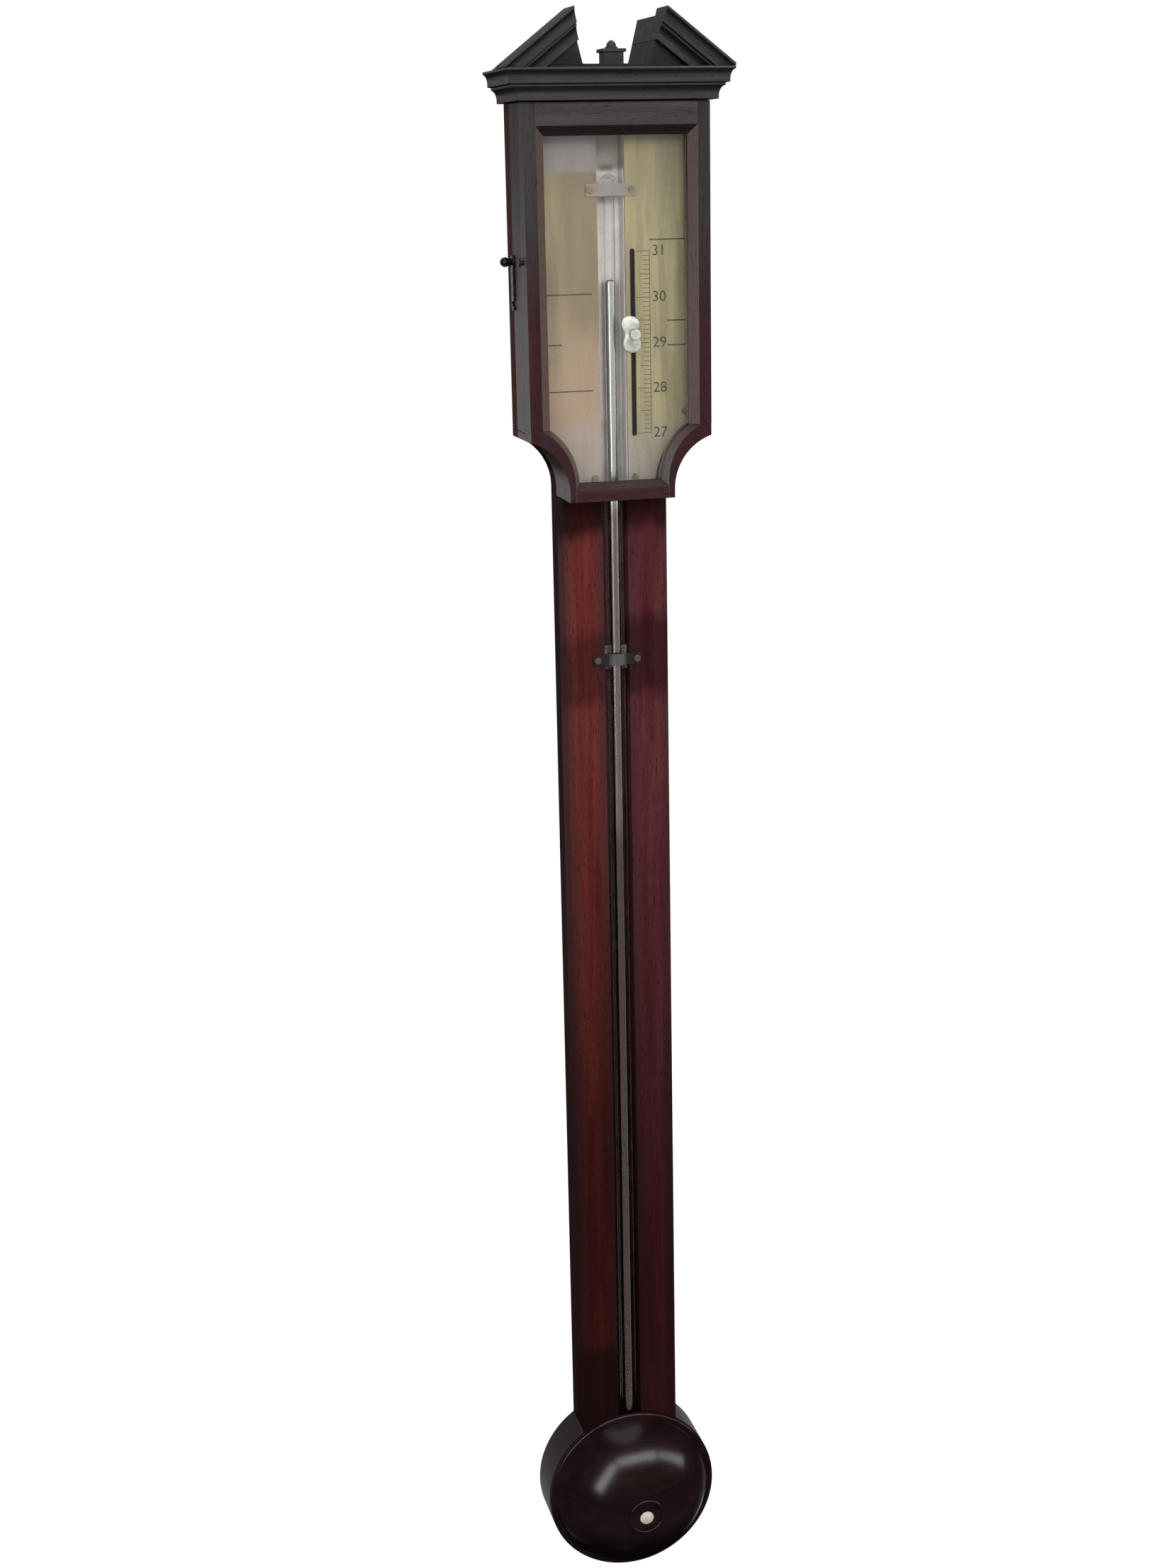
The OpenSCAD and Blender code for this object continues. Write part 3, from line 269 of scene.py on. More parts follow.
# A fade is painted shade that darkens towards the foot: its top, its bottom and the share that is left there; a
# shade has its middle, width and share
trunkWood = {
    "deep": (0.052, 0.0085, 0.0080), "middle": (0.113, 0.0198, 0.0178), "light": (0.187, 0.038, 0.031),
    "poreAndShade": (0.010, 0.004, 0.004), "poreDark": 0.7, "figure": 55, "ribbon": 240,
    "edge": (0.075, 0.0280, 0.0290), "edgeWidth": 0.0085, "fade": (-0.27, -0.63, 0.31),
    # the first shade, under the head, is the head's painted shadow on the trunk
    "shades": ((-0.186, 0.020, 0.85), (-0.281, 0.030, 0.45), (-0.764, 0.060, 0.75)),
    "roughness": 0.42, "specular": 0.0, "polish": 0.10, "sidePolish": 0.02, "polishRoughness": 0.22,
    "bump": 0.25,
}
purpleTrunk = dict(
    trunkWood, deep=(0.046, 0.0105, 0.0145), middle=(0.095, 0.0215, 0.0270), light=(0.150, 0.037, 0.044),
    fade=(-0.26, -0.68, 0.29), shades=((-0.186, 0.022, 0.75), (-0.278, 0.034, 0.6)))
# The backboard is painted darker than the front: painted shade on its side
backWoodShade = dict(
    trunkWood, deep=(0.012, 0.0052, 0.0050), middle=(0.022, 0.0085, 0.0080), light=(0.040, 0.0135, 0.0120),
    fade=(-0.20, -0.85, 0.5), shades=())
channelWood = dict(
    trunkWood, deep=(0.034, 0.018, 0.019), middle=(0.052, 0.028, 0.029), light=(0.075, 0.040, 0.040),
    shades=())
headWood = {
    "deep": (0.0095, 0.0080, 0.0080), "middle": (0.0190, 0.0155, 0.0155), "light": (0.036, 0.0275, 0.0275),
    "poreAndShade": (0.006, 0.004, 0.004), "poreDark": 0.6, "figure": 60, "ribbon": 260,
    "roughness": 0.42, "specular": 0.0, "polish": 0.60, "sidePolish": 0.12, "polishRoughness": 0.24,
    "bump": 0.3,
}
# The cornice and rakes are painted lighter and greyer than the head: a painted sheen where the mouldings catch
# the light
corniceWoodSheen = dict(
    headWood, deep=(0.032, 0.0290, 0.0295), middle=(0.058, 0.0520, 0.0530), light=(0.088, 0.078, 0.080))
rakeWoodSheen = dict(
    headWood, deep=(0.022, 0.0200, 0.0205), middle=(0.040, 0.0365, 0.0370), light=(0.066, 0.059, 0.060))
# Side wood has a painted grey sheen on its faces that turn to the left
sideWood = dict(headWood, sideSheen=(0.150, 0.132, 0.135), sideSheenRun=(0.030, -0.105))
groundWood = dict(
    headWood, lining=(0.50, 0.45, 0.44), liningHalf=0.0082, above=(0.215, 0.185, 0.160),
    aboveRun=(-0.002, 0.002))
# The door's frame and rails are painted lighter and greyer than the head: a painted sheen in place of reflected
# light
doorWoodSheen = dict(
    sideWood, deep=(0.023, 0.0195, 0.0195), middle=(0.039, 0.0325, 0.0325), light=(0.060, 0.050, 0.050),
    low=(0.048, 0.0125, 0.0160), lowRun=(-0.020, -0.085), slope=(0.112, 0.078, 0.064))
railWoodSheen = dict(
    doorWoodSheen, deep=(0.040, 0.0330, 0.0345), middle=(0.066, 0.0540, 0.0565), light=(0.098, 0.080, 0.083))
turnedWood = {
    "deep": (0.0085, 0.0042, 0.0046), "middle": (0.0145, 0.0060, 0.0068), "light": (0.025, 0.0095, 0.0105),
    "poreAndShade": (0.004, 0.0025, 0.0025), "poreDark": 0.5, "figure": 50, "ribbon": 200,
    "roughness": 0.40, "specular": 0.0, "polish": 1.0, "sidePolish": 0.22, "polishRoughness": 0.20,
    "bump": 0.12,
}
boxWood = {
    "deep": (0.38, 0.24, 0.10), "middle": (0.50, 0.34, 0.16), "light": (0.60, 0.43, 0.22),
    "poreAndShade": (0.30, 0.18, 0.08), "poreDark": 0.4, "figure": 90, "ribbon": 420,
    "roughness": 0.5, "specular": 0.3, "polish": 0.2, "sidePolish": 0.2, "polishRoughness": 0.3,
    "bump": 0.2,
}
rakeAngle = math.radians(37.5)
woodPieces = [
    (trunkWood, "z", ["trunk_front_left"]),
    (purpleTrunk, "z", ["trunk_front_right"]),
    (backWoodShade, "z", ["backboard"]),
    (channelWood, "z", ["channel_fillet"]),
    (sideWood, "z", ["head_side_left", "head_side_right", "shoulder_left", "shoulder_right"]),
    (groundWood, "z", ["register_ground_left", "register_ground_right"]),
    (headWood, "x", ["head_top_rail", "entablature", "pediment_block"]),
    (corniceWoodSheen, "x", ["cornice_front", "finial_plinth"]),
    (corniceWoodSheen, "y", ["cornice_return_left", "cornice_return_right"]),
    (corniceWoodSheen, "z", ["finial"]),
    (rakeWoodSheen, (0, math.pi / 2 + rakeAngle, 0), ["rake_left"]),
    (rakeWoodSheen, (0, math.pi / 2 - rakeAngle, 0), ["rake_right"]),
    (doorWoodSheen, "z", ["door_stile_left", "door_stile_right", "door_shoulder_left", "door_shoulder_right",
                     "glazing_bead"]),
    (railWoodSheen, "x", ["door_top_rail", "door_bottom_rail"]),
    (turnedWood, "x", ["cistern_block", "cistern_cover"]),
    (boxWood, "z", ["cistern_body", "cistern_cap", "cistern_base"]),
]


# Metals, with tarnish in clouds and fine rubbing marks
tarnish = {
    "specks": 9, "lines": 2200, "cloudShare": 0.7, "speckShare": 0.3, "run": (0.40, 0.64),
    "dullRough": 0.2, "lineRough": 0.12, "lineHeight": 0.5, "dullHeight": 0.3, "depth": 0.00005,
}


def metalMaterial(name, look):
    material, shade, place = startMaterial(name)
    clouds = noise(place, look["clouds"], 3.0, 0.6, 0.4)
    specks = noise(place, look["clouds"] * tarnish["specks"], 2.0, 0.6)
    lines = noise(stretched(place, look.get("rub", (1, 1, 1))), tarnish["lines"], 2.0, 0.5)
    dull = (clouds * tarnish["cloudShare"] + specks * tarnish["speckShare"]).step(*tarnish["run"])
    height = lines * tarnish["lineHeight"] + dull * tarnish["dullHeight"]
    surface = shade.node("ShaderNodeBsdfPrincipled", inputs={
        "Base Color": dull.tint(look["bright"], look["dull"]),
        "Metallic": look["metallic"],
        "Roughness": dull * tarnish["dullRough"] + lines * tarnish["lineRough"] + look["roughness"],
        "Normal": bump(height, look["bump"], tarnish["depth"]),
    })
    closeMaterial(shade, surface)
    return material


brassLook = {"bright": (0.42, 0.30, 0.13), "dull": (0.23, 0.155, 0.070), "clouds": 110,
             "metallic": 1.0, "roughness": 0.28, "bump": 0.3}
ironLook = {"bright": (0.075, 0.082, 0.080), "dull": (0.026, 0.026, 0.026), "clouds": 320,
            "metallic": 1.0, "roughness": 0.34, "bump": 0.3}
silverLook = {"bright": (0.48, 0.48, 0.445), "dull": (0.33, 0.32, 0.285), "clouds": 240,
              "metallic": 0.6, "roughness": 0.30, "bump": 0.2, "rub": (1, 1, 0.1)}
dullLook = {"bright": (0.19, 0.163, 0.128), "dull": (0.13, 0.110, 0.084), "clouds": 300,
            "metallic": 0.5, "roughness": 0.38, "bump": 0.2}


# The strip behind the tube, pale along the tube and dull above it, with a painted shadow over the tube's end.
# The strap that crosses it is grey in its middle and as brown as the plates at its ends, and the iron strap
# on the trunk is paler over the tube, partly rubbed and partly a painted highlight on its hump.
liningLook = {
    "pale": (0.64, 0.58, 0.57), "worn": (0.52, 0.47, 0.46),
    "above": (0.215, 0.185, 0.160), "aboveRun": (-0.002, 0.002), "dimRun": (-0.030, -0.004), "dimShare": 0.35,
    "mark": (0.070, 0.065, 0.060), "markHeight": 0.0008, "markSize": (0.004, 0.0006),
    "markSoft": (0.004, 0.003), "markShare": 0.8,
}
strapLook = {
    "pale": (0.190, 0.163, 0.150), "worn": (0.150, 0.129, 0.114),
    "ends": (0.200, 0.168, 0.120), "endsRun": (0.0080, 0.0105),
}
# The iron strap's pale middle is partly a painted highlight on its hump over the tube
ironStrapLook = {
    "pale": (0.125, 0.119, 0.116), "worn": (0.090, 0.086, 0.084),
    "ends": (0.020, 0.017, 0.017), "endsRun": (0.0034, 0.0062),
}
liningSurface = {"clouds": 60, "metallic": 0.2, "roughness": 0.45, "cloudRough": 0.2, "bump": 0.2}


def liningMaterial(name, look):
    material, shade, place = startMaterial(name)
    x, _, z = axes(place)
    clouds = noise(place, liningSurface["clouds"], 3.0, 0.6, 0.4)
    tone = clouds.step(*tarnish["run"]).tint(look["pale"], look["worn"])
    if "above" in look:
        tone = (z.step(*look["dimRun"]) * look["dimShare"]).tint(tone, look["above"])
        tone = z.step(*look["aboveRun"]).tint(tone, look["above"])
        across, up = look["markSize"]
        softAcross, softUp = look["markSoft"]
        # Painted shadow of the tube's closed end, a small dark patch just above it
        mark = band(x, 0, across, softAcross) * band(z, look["markHeight"], up, softUp)
        tone = (mark * look["markShare"]).tint(tone, look["mark"])
    if "ends" in look:
        tone = x.size().step(*look["endsRun"]).tint(tone, look["ends"])
    surface = shade.node("ShaderNodeBsdfPrincipled", inputs={
        "Base Color": tone,
        "Metallic": liningSurface["metallic"],
        "Roughness": clouds * liningSurface["cloudRough"] + liningSurface["roughness"],
        "Normal": bump(clouds, liningSurface["bump"], tarnish["depth"]),
    })
    closeMaterial(shade, surface)
    return material


# The register plates: silvering gone khaki, greyer at the head and the foot and pinker low on the left
registerLook = {
    "khaki": (0.300, 0.248, 0.140), "olive": (0.225, 0.196, 0.112), "oliveRun": (0.35, 0.65),
    "leftRun": (-0.004, 0.012), "drift": 0.05,  # m
    "brown": (0.175, 0.128, 0.084), "brownRun": (-0.044, -0.022), "brownShare": 0.85,
    "beige": (0.290, 0.205, 0.142), "blush": (-0.075, -0.110),
    "grey": (0.300, 0.258, 0.245), "foot": (-0.130, -0.168), "footShare": 0.85,
    "lilac": (0.240, 0.212, 0.205), "head": (-0.003, 0.0), "headShare": 0.85,
    "dark": (0.02, 0.018, 0.016), "shade": (-0.030, 0.018), "shadeShare": 0.35,
    "worn": (0.15, 0.12, 0.08), "wornRun": (0.44, 0.66), "wornShare": 0.3,
    "streaks": 120, "streakStretch": 0.12, "clouds": 26, "specks": 900,
    "speckShare": 0.4, "streakShare": 0.6, "streakRough": 0.15, "wornRough": 0.1,
    "metallic": 0.3, "roughness": 0.42, "specular": 0.3, "bump": 0.15,
}


def registerMaterial(name, look):
    material, shade, place = startMaterial(name)
    x, _, z = axes(place)
    streaks = noise(stretched(place, (1, 1, look["streakStretch"])), look["streaks"], 3.0, 0.55, 0.5)
    clouds = noise(place, look["clouds"], 2.0, 0.5, 0.6)
    specks = noise(place, look["specks"], 2.0, 0.6)
    left = (0 - x).step(*look["leftRun"])
    drift = z + (clouds - 0.5) * look["drift"]
    tone = streaks.step(*look["oliveRun"]).tint(look["khaki"], look["olive"])
    tone = (left * x.step(*look["brownRun"]) * look["brownShare"]).tint(tone, look["brown"])
    tone = (left * drift.step(*look["blush"])).tint(tone, look["beige"])
    tone = (drift.step(*look["foot"]) * look["footShare"]).tint(tone, look["grey"])
    tone = (left * z.step(*look["head"]) * look["headShare"]).tint(tone, look["lilac"])
    tone = (z.step(*look["shade"]) * look["shadeShare"]).tint(tone, look["dark"])
    worn = (specks * look["speckShare"] + streaks * look["streakShare"]).step(*look["wornRun"])
    surface = shade.node("ShaderNodeBsdfPrincipled", inputs={
        "Base Color": (worn * look["wornShare"]).tint(tone, look["worn"]),
        "Metallic": look["metallic"],
        "Roughness": streaks * look["streakRough"] + worn * look["wornRough"] + look["roughness"],
        "Specular IOR Level": look["specular"],
        "Normal": bump(streaks, look["bump"], tarnish["depth"]),
    })
    closeMaterial(shade, surface)
    return material


# Glass that lets lamps through to what it covers, with a faint film of dust
glassFilm = {"smears": 35, "ripple": 16, "smearRun": (0.45, 0.75), "paleShare": 0.3, "depth": 0.0004,
             "shadow": (0.96, 0.97, 0.96, 1)}
tubeGlass = {"tint": (0.94, 0.95, 0.94), "index": 1.2, "film": 0.04, "wave": 0.003}
windowGlass = {"tint": (0.95, 0.96, 0.95), "index": 1.3, "film": 0.02, "wave": 0.05}


def glassMaterial(name, look):
    material, shade, place = startMaterial(name)
    smears = noise(place, glassFilm["smears"], 3.0, 0.55, 0.8)
    ripple = noise(place, glassFilm["ripple"], 1.0, 0.4)
    glass = shade.node("ShaderNodeBsdfPrincipled", inputs={
        "Base Color": (smears * glassFilm["paleShare"]).tint(look["tint"], (1, 1, 1)),
        "Roughness": smears.step(*glassFilm["smearRun"]) * look["film"],
        "IOR": look["index"],
        "Transmission Weight": 1.0,
        "Normal": bump(ripple, look["wave"], glassFilm["depth"]),
    })
    clear = shade.node("ShaderNodeBsdfTransparent", inputs={"Color": glassFilm["shadow"]})
    shadowRay = shade.node("ShaderNodeLightPath", output="Is Shadow Ray")
    closeMaterial(shade, shade.node("ShaderNodeMixShader", inputs={0: shadowRay, 1: glass, 2: clear}))
    return material


# Mercury behind glass, bright in the head, with painted shade that darkens it below the door and further down
# the trunk
mercuryLook = {
    "headBright": (0.41, 0.405, 0.40), "dusty": (0.142, 0.115, 0.115), "foot": (0.074, 0.048, 0.0455),
    "doorEdge": (-0.194, -0.178), "run": (-0.400, -0.368),
    "film": (0.05, 0.04, 0.04), "filmShare": 0.12, "filmRough": 0.08, "filmScale": 300, "filmStretch": 0.2,
    "roughness": 0.22,
}


def mercuryMaterial(name, look):
    material, shade, place = startMaterial(name)
    z = axes(place)[2]
    film = noise(stretched(place, (1, 1, look["filmStretch"])), look["filmScale"], 2.0, 0.5)
    # Painted shade: darker below the door and darker again lower down the trunk
    tone = z.step(*look["run"]).tint(look["foot"], look["dusty"])
    tone = z.step(*look["doorEdge"]).tint(tone, look["headBright"])
    surface = shade.node("ShaderNodeBsdfPrincipled", inputs={
        "Base Color": (film * look["filmShare"]).tint(tone, look["film"]),
        "Metallic": 1.0,
        "Roughness": film * look["filmRough"] + look["roughness"],
    })
    closeMaterial(shade, surface)
    return material


# Ink that fills engraved lines, worn thin in places
inkLook = {
    "dark": (0.035, 0.030, 0.022), "faint": (0.11, 0.095, 0.06), "wear": 500, "wearRun": (0.45, 0.7),
    "wearShare": 0.5, "specks": 900, "speckRough": 0.2, "roughness": 0.5, "specular": 0.2,
}


def inkMaterial(name, look):
    material, shade, place = startMaterial(name)
    wear = noise(place, look["wear"], 2.0, 0.6).step(*look["wearRun"])
    surface = shade.node("ShaderNodeBsdfPrincipled", inputs={
        "Base Color": (wear * look["wearShare"]).tint(look["dark"], look["faint"]),
        "Roughness": noise(place, look["specks"]) * look["speckRough"] + look["roughness"],
        "Specular IOR Level": look["specular"],
    })
    closeMaterial(shade, surface)
    return material


# Bone, leather and cork: pale clouds, with the grain of each in its bump
softSurface = {"run": (0.3, 0.7), "cloudRough": 0.2, "depth": 0.0001}


def softMaterial(name, look):
    material, shade, place = startMaterial(name)
    clouds = noise(place, look["clouds"], 3.0, 0.6)
    cells = shade.node("ShaderNodeTexVoronoi", inputs={"Vector": place, "Scale": look["cells"]})
    surface = shade.node("ShaderNodeBsdfPrincipled", inputs={
        "Base Color": clouds.step(*softSurface["run"]).tint(look["dark"], look["pale"]),
        "Roughness": clouds * softSurface["cloudRough"] + look["roughness"],
        "Normal": bump(cells, look["bump"], softSurface["depth"]),
    })
    closeMaterial(shade, surface)
    return material


boneLook = {"dark": (0.62, 0.54, 0.44), "pale": (0.82, 0.76, 0.68), "clouds": 300, "cells": 1500,
            "roughness": 0.22, "bump": 0.05}
leatherLook = {"dark": (0.12, 0.07, 0.035), "pale": (0.22, 0.13, 0.07), "clouds": 200, "cells": 1200,
               "roughness": 0.6, "bump": 0.5}
corkLook = {"dark": (0.135, 0.122, 0.117), "pale": (0.305, 0.278, 0.268), "clouds": 500, "cells": 700,
            "roughness": 0.8, "bump": 0.8}


# CAD nodes: their edges are eased and shaded round, and each gets its finish
def softShading(angle):
    tree = bpy.data.node_groups.new("softShading", "GeometryNodeTree")
    tree.interface.new_socket("Geometry", in_out="INPUT", socket_type="NodeSocketGeometry")
    tree.interface.new_socket("Geometry", in_out="OUTPUT", socket_type="NodeSocketGeometry")
    shade = Shade(tree)
    whole = shade.node("NodeGroupInput")
    bare = shade.node("GeometryNodeRemoveAttribute", inputs={"Geometry": whole, "Name": "custom_normal"})
    smooth = shade.node("GeometryNodeSetShadeSmooth", {"domain": "FACE"},
                        {"Geometry": bare, "Shade Smooth": True})
    corner = shade.node("GeometryNodeInputMeshEdgeAngle")
    sharp = shade.node("FunctionNodeCompare", {"operation": "GREATER_THAN"}, {0: corner, 1: angle})
    split = shade.node("GeometryNodeSetShadeSmooth", {"domain": "EDGE"},
                       {"Geometry": smooth, "Selection": sharp, "Shade Smooth": False})
    shade.node("NodeGroupOutput", inputs={0: split})
    return tree


edgeEasing = {
    "boards": 0.45, "fittings": 0.18, "weld": 0.001,  # mm
    "corner": 35, "sharpest": 60, "flattest": 0.4,  # degrees
    "segments": 2, "levelWeight": 90,
}
roundShading = softShading(math.radians(edgeEasing["sharpest"]))


def ease(node, width):
    shape = cad[node]
    weld = shape.modifiers.new("weld", "WELD")
    weld.merge_threshold = edgeEasing["weld"] * mm
    flat = shape.modifiers.new("flat", "DECIMATE")
    flat.decimate_type = "DISSOLVE"
    flat.angle_limit = math.radians(edgeEasing["flattest"])
    if width:
        bevel = shape.modifiers.new("eased", "BEVEL")
        bevel.width = width * mm
        bevel.segments = edgeEasing["segments"]
        bevel.limit_method = "ANGLE"
        bevel.angle_limit = math.radians(edgeEasing["corner"])
    group = shape.modifiers.new("softShading", "NODES")
    group.node_group = roundShading
    level = shape.modifiers.new("level", "WEIGHTED_NORMAL")
    level.keep_sharp = True
    level.weight = edgeEasing["levelWeight"]


def finish(shape, material):
    shape.data.materials.clear()
    shape.data.materials.append(material)


offset = 0.0
for look, grain, pieces in woodPieces:
    for node in pieces:
        offset += grainLook["nextBoard"]
        finish(cad[node], woodMaterial("wood_" + node, look, grain, offset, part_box(node)))
        ease(node, edgeEasing["boards"])
print("wood:", sum(len(pieces) for look, grain, pieces in woodPieces), "nodes")

brass = metalMaterial("brass", brassLook)
iron = metalMaterial("iron", ironLook)
silver = metalMaterial("silver", silverLook)
dullSilver = metalMaterial("dullSilver", dullLook)
fittings = [
    (brass, ["cover_screws", "vernier_shoe", "case_hinge_leaves", "door_hinge_leaves", "hinge_pins",
             "case_hinge_screws", "door_hinge_screws", "hanging_plate", "hanging_screws"]),
    (iron, ["catch_pivot", "catch_hook", "catch_pin"]),
    (silver, ["vernier_knob"]),
    (dullSilver, ["clip_screws", "register_screws"]),
    (liningMaterial("lining", liningLook), ["channel_plate"]),
    (liningMaterial("strap", strapLook), ["tube_clip_upper"]),
    (liningMaterial("ironStrap", ironStrapLook), ["tube_clip_lower"]),
    (registerMaterial("register", registerLook), ["register_plate_left", "register_plate_right"]),
    (softMaterial("bone", boneLook), ["cover_button"]),
    (softMaterial("leather", leatherLook), ["cistern_leather"]),
    (softMaterial("cork", corkLook), ["tube_pad"]),
]
for material, pieces in fittings:
    for node in pieces:
        finish(cad[node], material)
        ease(node, edgeEasing["fittings"])
mercury = mercuryMaterial("mercury", mercuryLook)
for node in ("mercury_column", "cistern_mercury"):
    finish(cad[node], mercury)
    ease(node, 0)
finish(cad["tube"], glassMaterial("tubeGlass", tubeGlass))
ease("tube", 0)
finish(cad["door_glass"], glassMaterial("windowGlass", windowGlass))
ease("door_glass", 0)
print("fittings and glass dressed")


# Faces of a grid of rows and columns; the columns close on themselves where wrap is set
def gridFaces(rows, columns, wrap=False):
    i, j = np.meshgrid(np.arange(rows - 1), np.arange(columns if wrap else columns - 1), indexing="ij")
    k = (j + 1) % columns
    corners = (i * columns + j, i * columns + k, (i + 1) * columns + k, (i + 1) * columns + j)
    return np.stack(corners, -1).reshape(-1, 4).tolist()


def addShape(name, points, faces, material, smooth=False):
    mesh = bpy.data.meshes.new(name)
    mesh.from_pydata((np.asarray(points) * mm).tolist(), [], faces)
    mesh.polygons.foreach_set("use_smooth", np.full(len(mesh.polygons), smooth))
    shape = bpy.data.objects.new(name, mesh)
    bpy.context.scene.collection.objects.link(shape)
    finish(shape, material)
    return shape


# A new piece of the part, in mm, that moves with a body and takes the finish it is given
def addPiece(name, points, faces, material, body, slot, smooth=False):
    piece = addShape(name, points, faces, material, smooth)
    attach(piece, body)
    return piece


# Vernier: a plate with two lobes. Its outline is a Cassini oval, the line on which the product of the distances
# from two points is constant, sheared so that the lower lobe lies further right, and its front is crowned.
# With focus f, product p and turn t, its reach is r = sqrt(f^2 cos 2t + sqrt(p^4 - f^4 sin^2 2t)).
# The rings run from the middle of the front over the rim to the middle of the back, as shares s of the outline,
# and the crown falls off as 1 - s^3.
vernierSpec = {
    "focus": 7.0, "product": 7.6, "crown": 1.0,  # mm
    "widen": 1.3, "shear": -0.09,
    "rings": (0.001, 0.25, 0.5, 0.7, 0.85, 0.94, 0.985, 1.0, 0.985, 0.001), "rim": 7, "spokes": 120,
}


def lobedOutline(spec):
    turn = np.linspace(0, 2 * math.pi, spec["spokes"], endpoint=False)
    square = spec["focus"] ** 2
    reach = np.sqrt(square * np.cos(2 * turn)
                    + np.sqrt(spec["product"] ** 4 - (square * np.sin(2 * turn)) ** 2))
    up = reach * np.cos(turn)
    return reach * np.sin(turn) * spec["widen"] + up * spec["shear"], up


def shapeVernier(spec):
    low, high = (np.array(corner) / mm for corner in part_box("vernier_plate"))
    middle = (low + high) / 2
    across, up = lobedOutline(spec)
    share = np.array(spec["rings"])[:, None]
    rows = np.arange(len(share))[:, None]
    front = low[1] - spec["crown"] * (1 - share ** 3)
    depth = np.where(rows < spec["rim"], front, np.where(rows == spec["rim"], middle[1], high[1]))
    points = np.stack((middle[0] + share * across, depth + 0 * across, middle[2] + share * up), -1)
    faces = gridFaces(len(share), len(across), wrap=True)
    piece = addPiece("vernierLobes", points.reshape(-1, 3), faces, silver,
                     "vernier", "silvered_brass", smooth=True)
    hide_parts("vernier_plate")


shapeVernier(vernierSpec)

# Scale: marks at every tenth of an inch from 27 to 31 above the mercury in the cistern, left of an upright
# line, and a number at each inch. A ruled line has its left and right ends and its height.
scaleSpec = {
    "inches": (27, 31), "line": 22.0, "tenth": 4.0, "half": 6.0, "inch": 8.0, "thick": 0.32,  # mm
    "proud": 0.04, "numberX": 27.5, "fontSize": 8.4, "fontSteps": 4, "ruledThick": 0.7,
    "ruled": ((32.0, 43.0, -83.3), (32.0, 43.0, -97.1), (22.0, 45.0, -38.5),
              (-42.0, -12.0, -67.4), (-45.0, -30.0, -95.0), (-42.0, -12.0, -121.0)),
}
inch = 25.4
coverLow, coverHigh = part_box("cistern_cover")
mercuryLevel = (coverLow.z + coverHigh.z) / 2 / mm  # half way up the cistern's cover


# Each mark is a flat strip: left, right, foot and head
def stripMesh(strips, depth):
    x0, x1, z0, z1 = np.array(strips).T
    y = np.full_like(x0, depth)
    points = np.stack((np.stack((x0, y, z0), -1), np.stack((x1, y, z0), -1),
                       np.stack((x1, y, z1), -1), np.stack((x0, y, z1), -1)), 1)
    return points.reshape(-1, 3), np.arange(len(strips) * 4).reshape(-1, 4).tolist()


def numberMesh(text, spec):
    curve = bpy.data.curves.new("number", "FONT")
    curve.body = text
    curve.align_x = "CENTER"
    curve.align_y = "CENTER"
    curve.size = spec["fontSize"]
    curve.resolution_u = spec["fontSteps"]
    holder = bpy.data.objects.new("number", curve)
    bpy.context.scene.collection.objects.link(holder)
    bpy.context.view_layer.update()
    mesh = bpy.data.meshes.new_from_object(holder.evaluated_get(bpy.context.evaluated_depsgraph_get()))
    points = np.empty(len(mesh.vertices) * 3)
    mesh.vertices.foreach_get("co", points)
    faces = [list(polygon.vertices) for polygon in mesh.polygons]
    bpy.data.objects.remove(holder)
    return points.reshape(-1, 3), faces


def engraveScale(spec):
    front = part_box("register_plate_right")[0].y / mm - spec["proud"]
    ink = inkMaterial("ink", inkLook)
    half = spec["thick"] / 2
    first, last = spec["inches"]
    tenths = np.arange(first * 10, last * 10 + 1)
    heights = mercuryLevel + tenths * inch / 10
    reach = np.where(tenths % 10 == 0, spec["inch"], np.where(tenths % 5 == 0, spec["half"], spec["tenth"]))
    strips = [(spec["line"] - r, spec["line"], z - half, z + half) for r, z in zip(reach, heights)]
    strips.append((spec["line"] - half, spec["line"] + half, heights[0] - half, heights[-1] + half))
    half = spec["ruledThick"] / 2
    strips += [(x0, x1, z - half, z + half) for x0, x1, z in spec["ruled"]]
    addPiece("scaleMarks", *stripMesh(strips, front), ink, "case", "silvered_brass")
    points, faces, count = [], [], 0
    for number in range(first, last + 1):
        flat, parts = numberMesh(str(number), spec)
        z = mercuryLevel + number * inch
        points.append(np.stack((spec["numberX"] + flat[:, 0], np.full(len(flat), front), z + flat[:, 1]), -1))
        faces += [[corner + count for corner in part] for part in parts]
        count += len(flat)
    addPiece("scaleNumbers", np.concatenate(points), faces, ink, "case", "silvered_brass")


engraveScale(scaleSpec)
print("vernier and scale made")


# Light: an arch of three soft strips in front, left, above and right, with one lamp behind, in an even white
# room. Each lamp is turned to face lampAim, with its long side as near to "along" as that leaves it.
lamps = {
    "left": {"place": (-1.08, -1.315, -0.147), "along": (0.72, 0, 1.165),
             "size": (1.37, 0.34), "radiance": 4.8},
    "top": {"place": (0.25, -1.30, 0.50), "along": (1, 0.14, -0.07),
            "size": (1.95, 0.36), "radiance": 4.5},
    "right": {"place": (1.54, -0.745, -0.13), "along": (0.645, 0.57, -0.85),
              "size": (1.34, 0.30), "radiance": 3.6},
    "back": {"place": (0.7, 1.5, 0.2), "along": (1, 0, 0),
             "size": (1.0, 1.0), "radiance": 1.6},
}
lampAim = (0, 0, -0.5)
room = {"fill": 0.42, "white": 1.0}
floorSpec = {
    "height": -0.95, "middle": 0.75, "radius": 1.2, "fade": (0.52, 0.76),  # m
    "rings": 12, "spokes": 64, "hub": 0.001,
    "albedo": 0.82, "mottle": 0.02, "mottleScale": 300, "roughness": 0.9, "glow": 0.56,
}


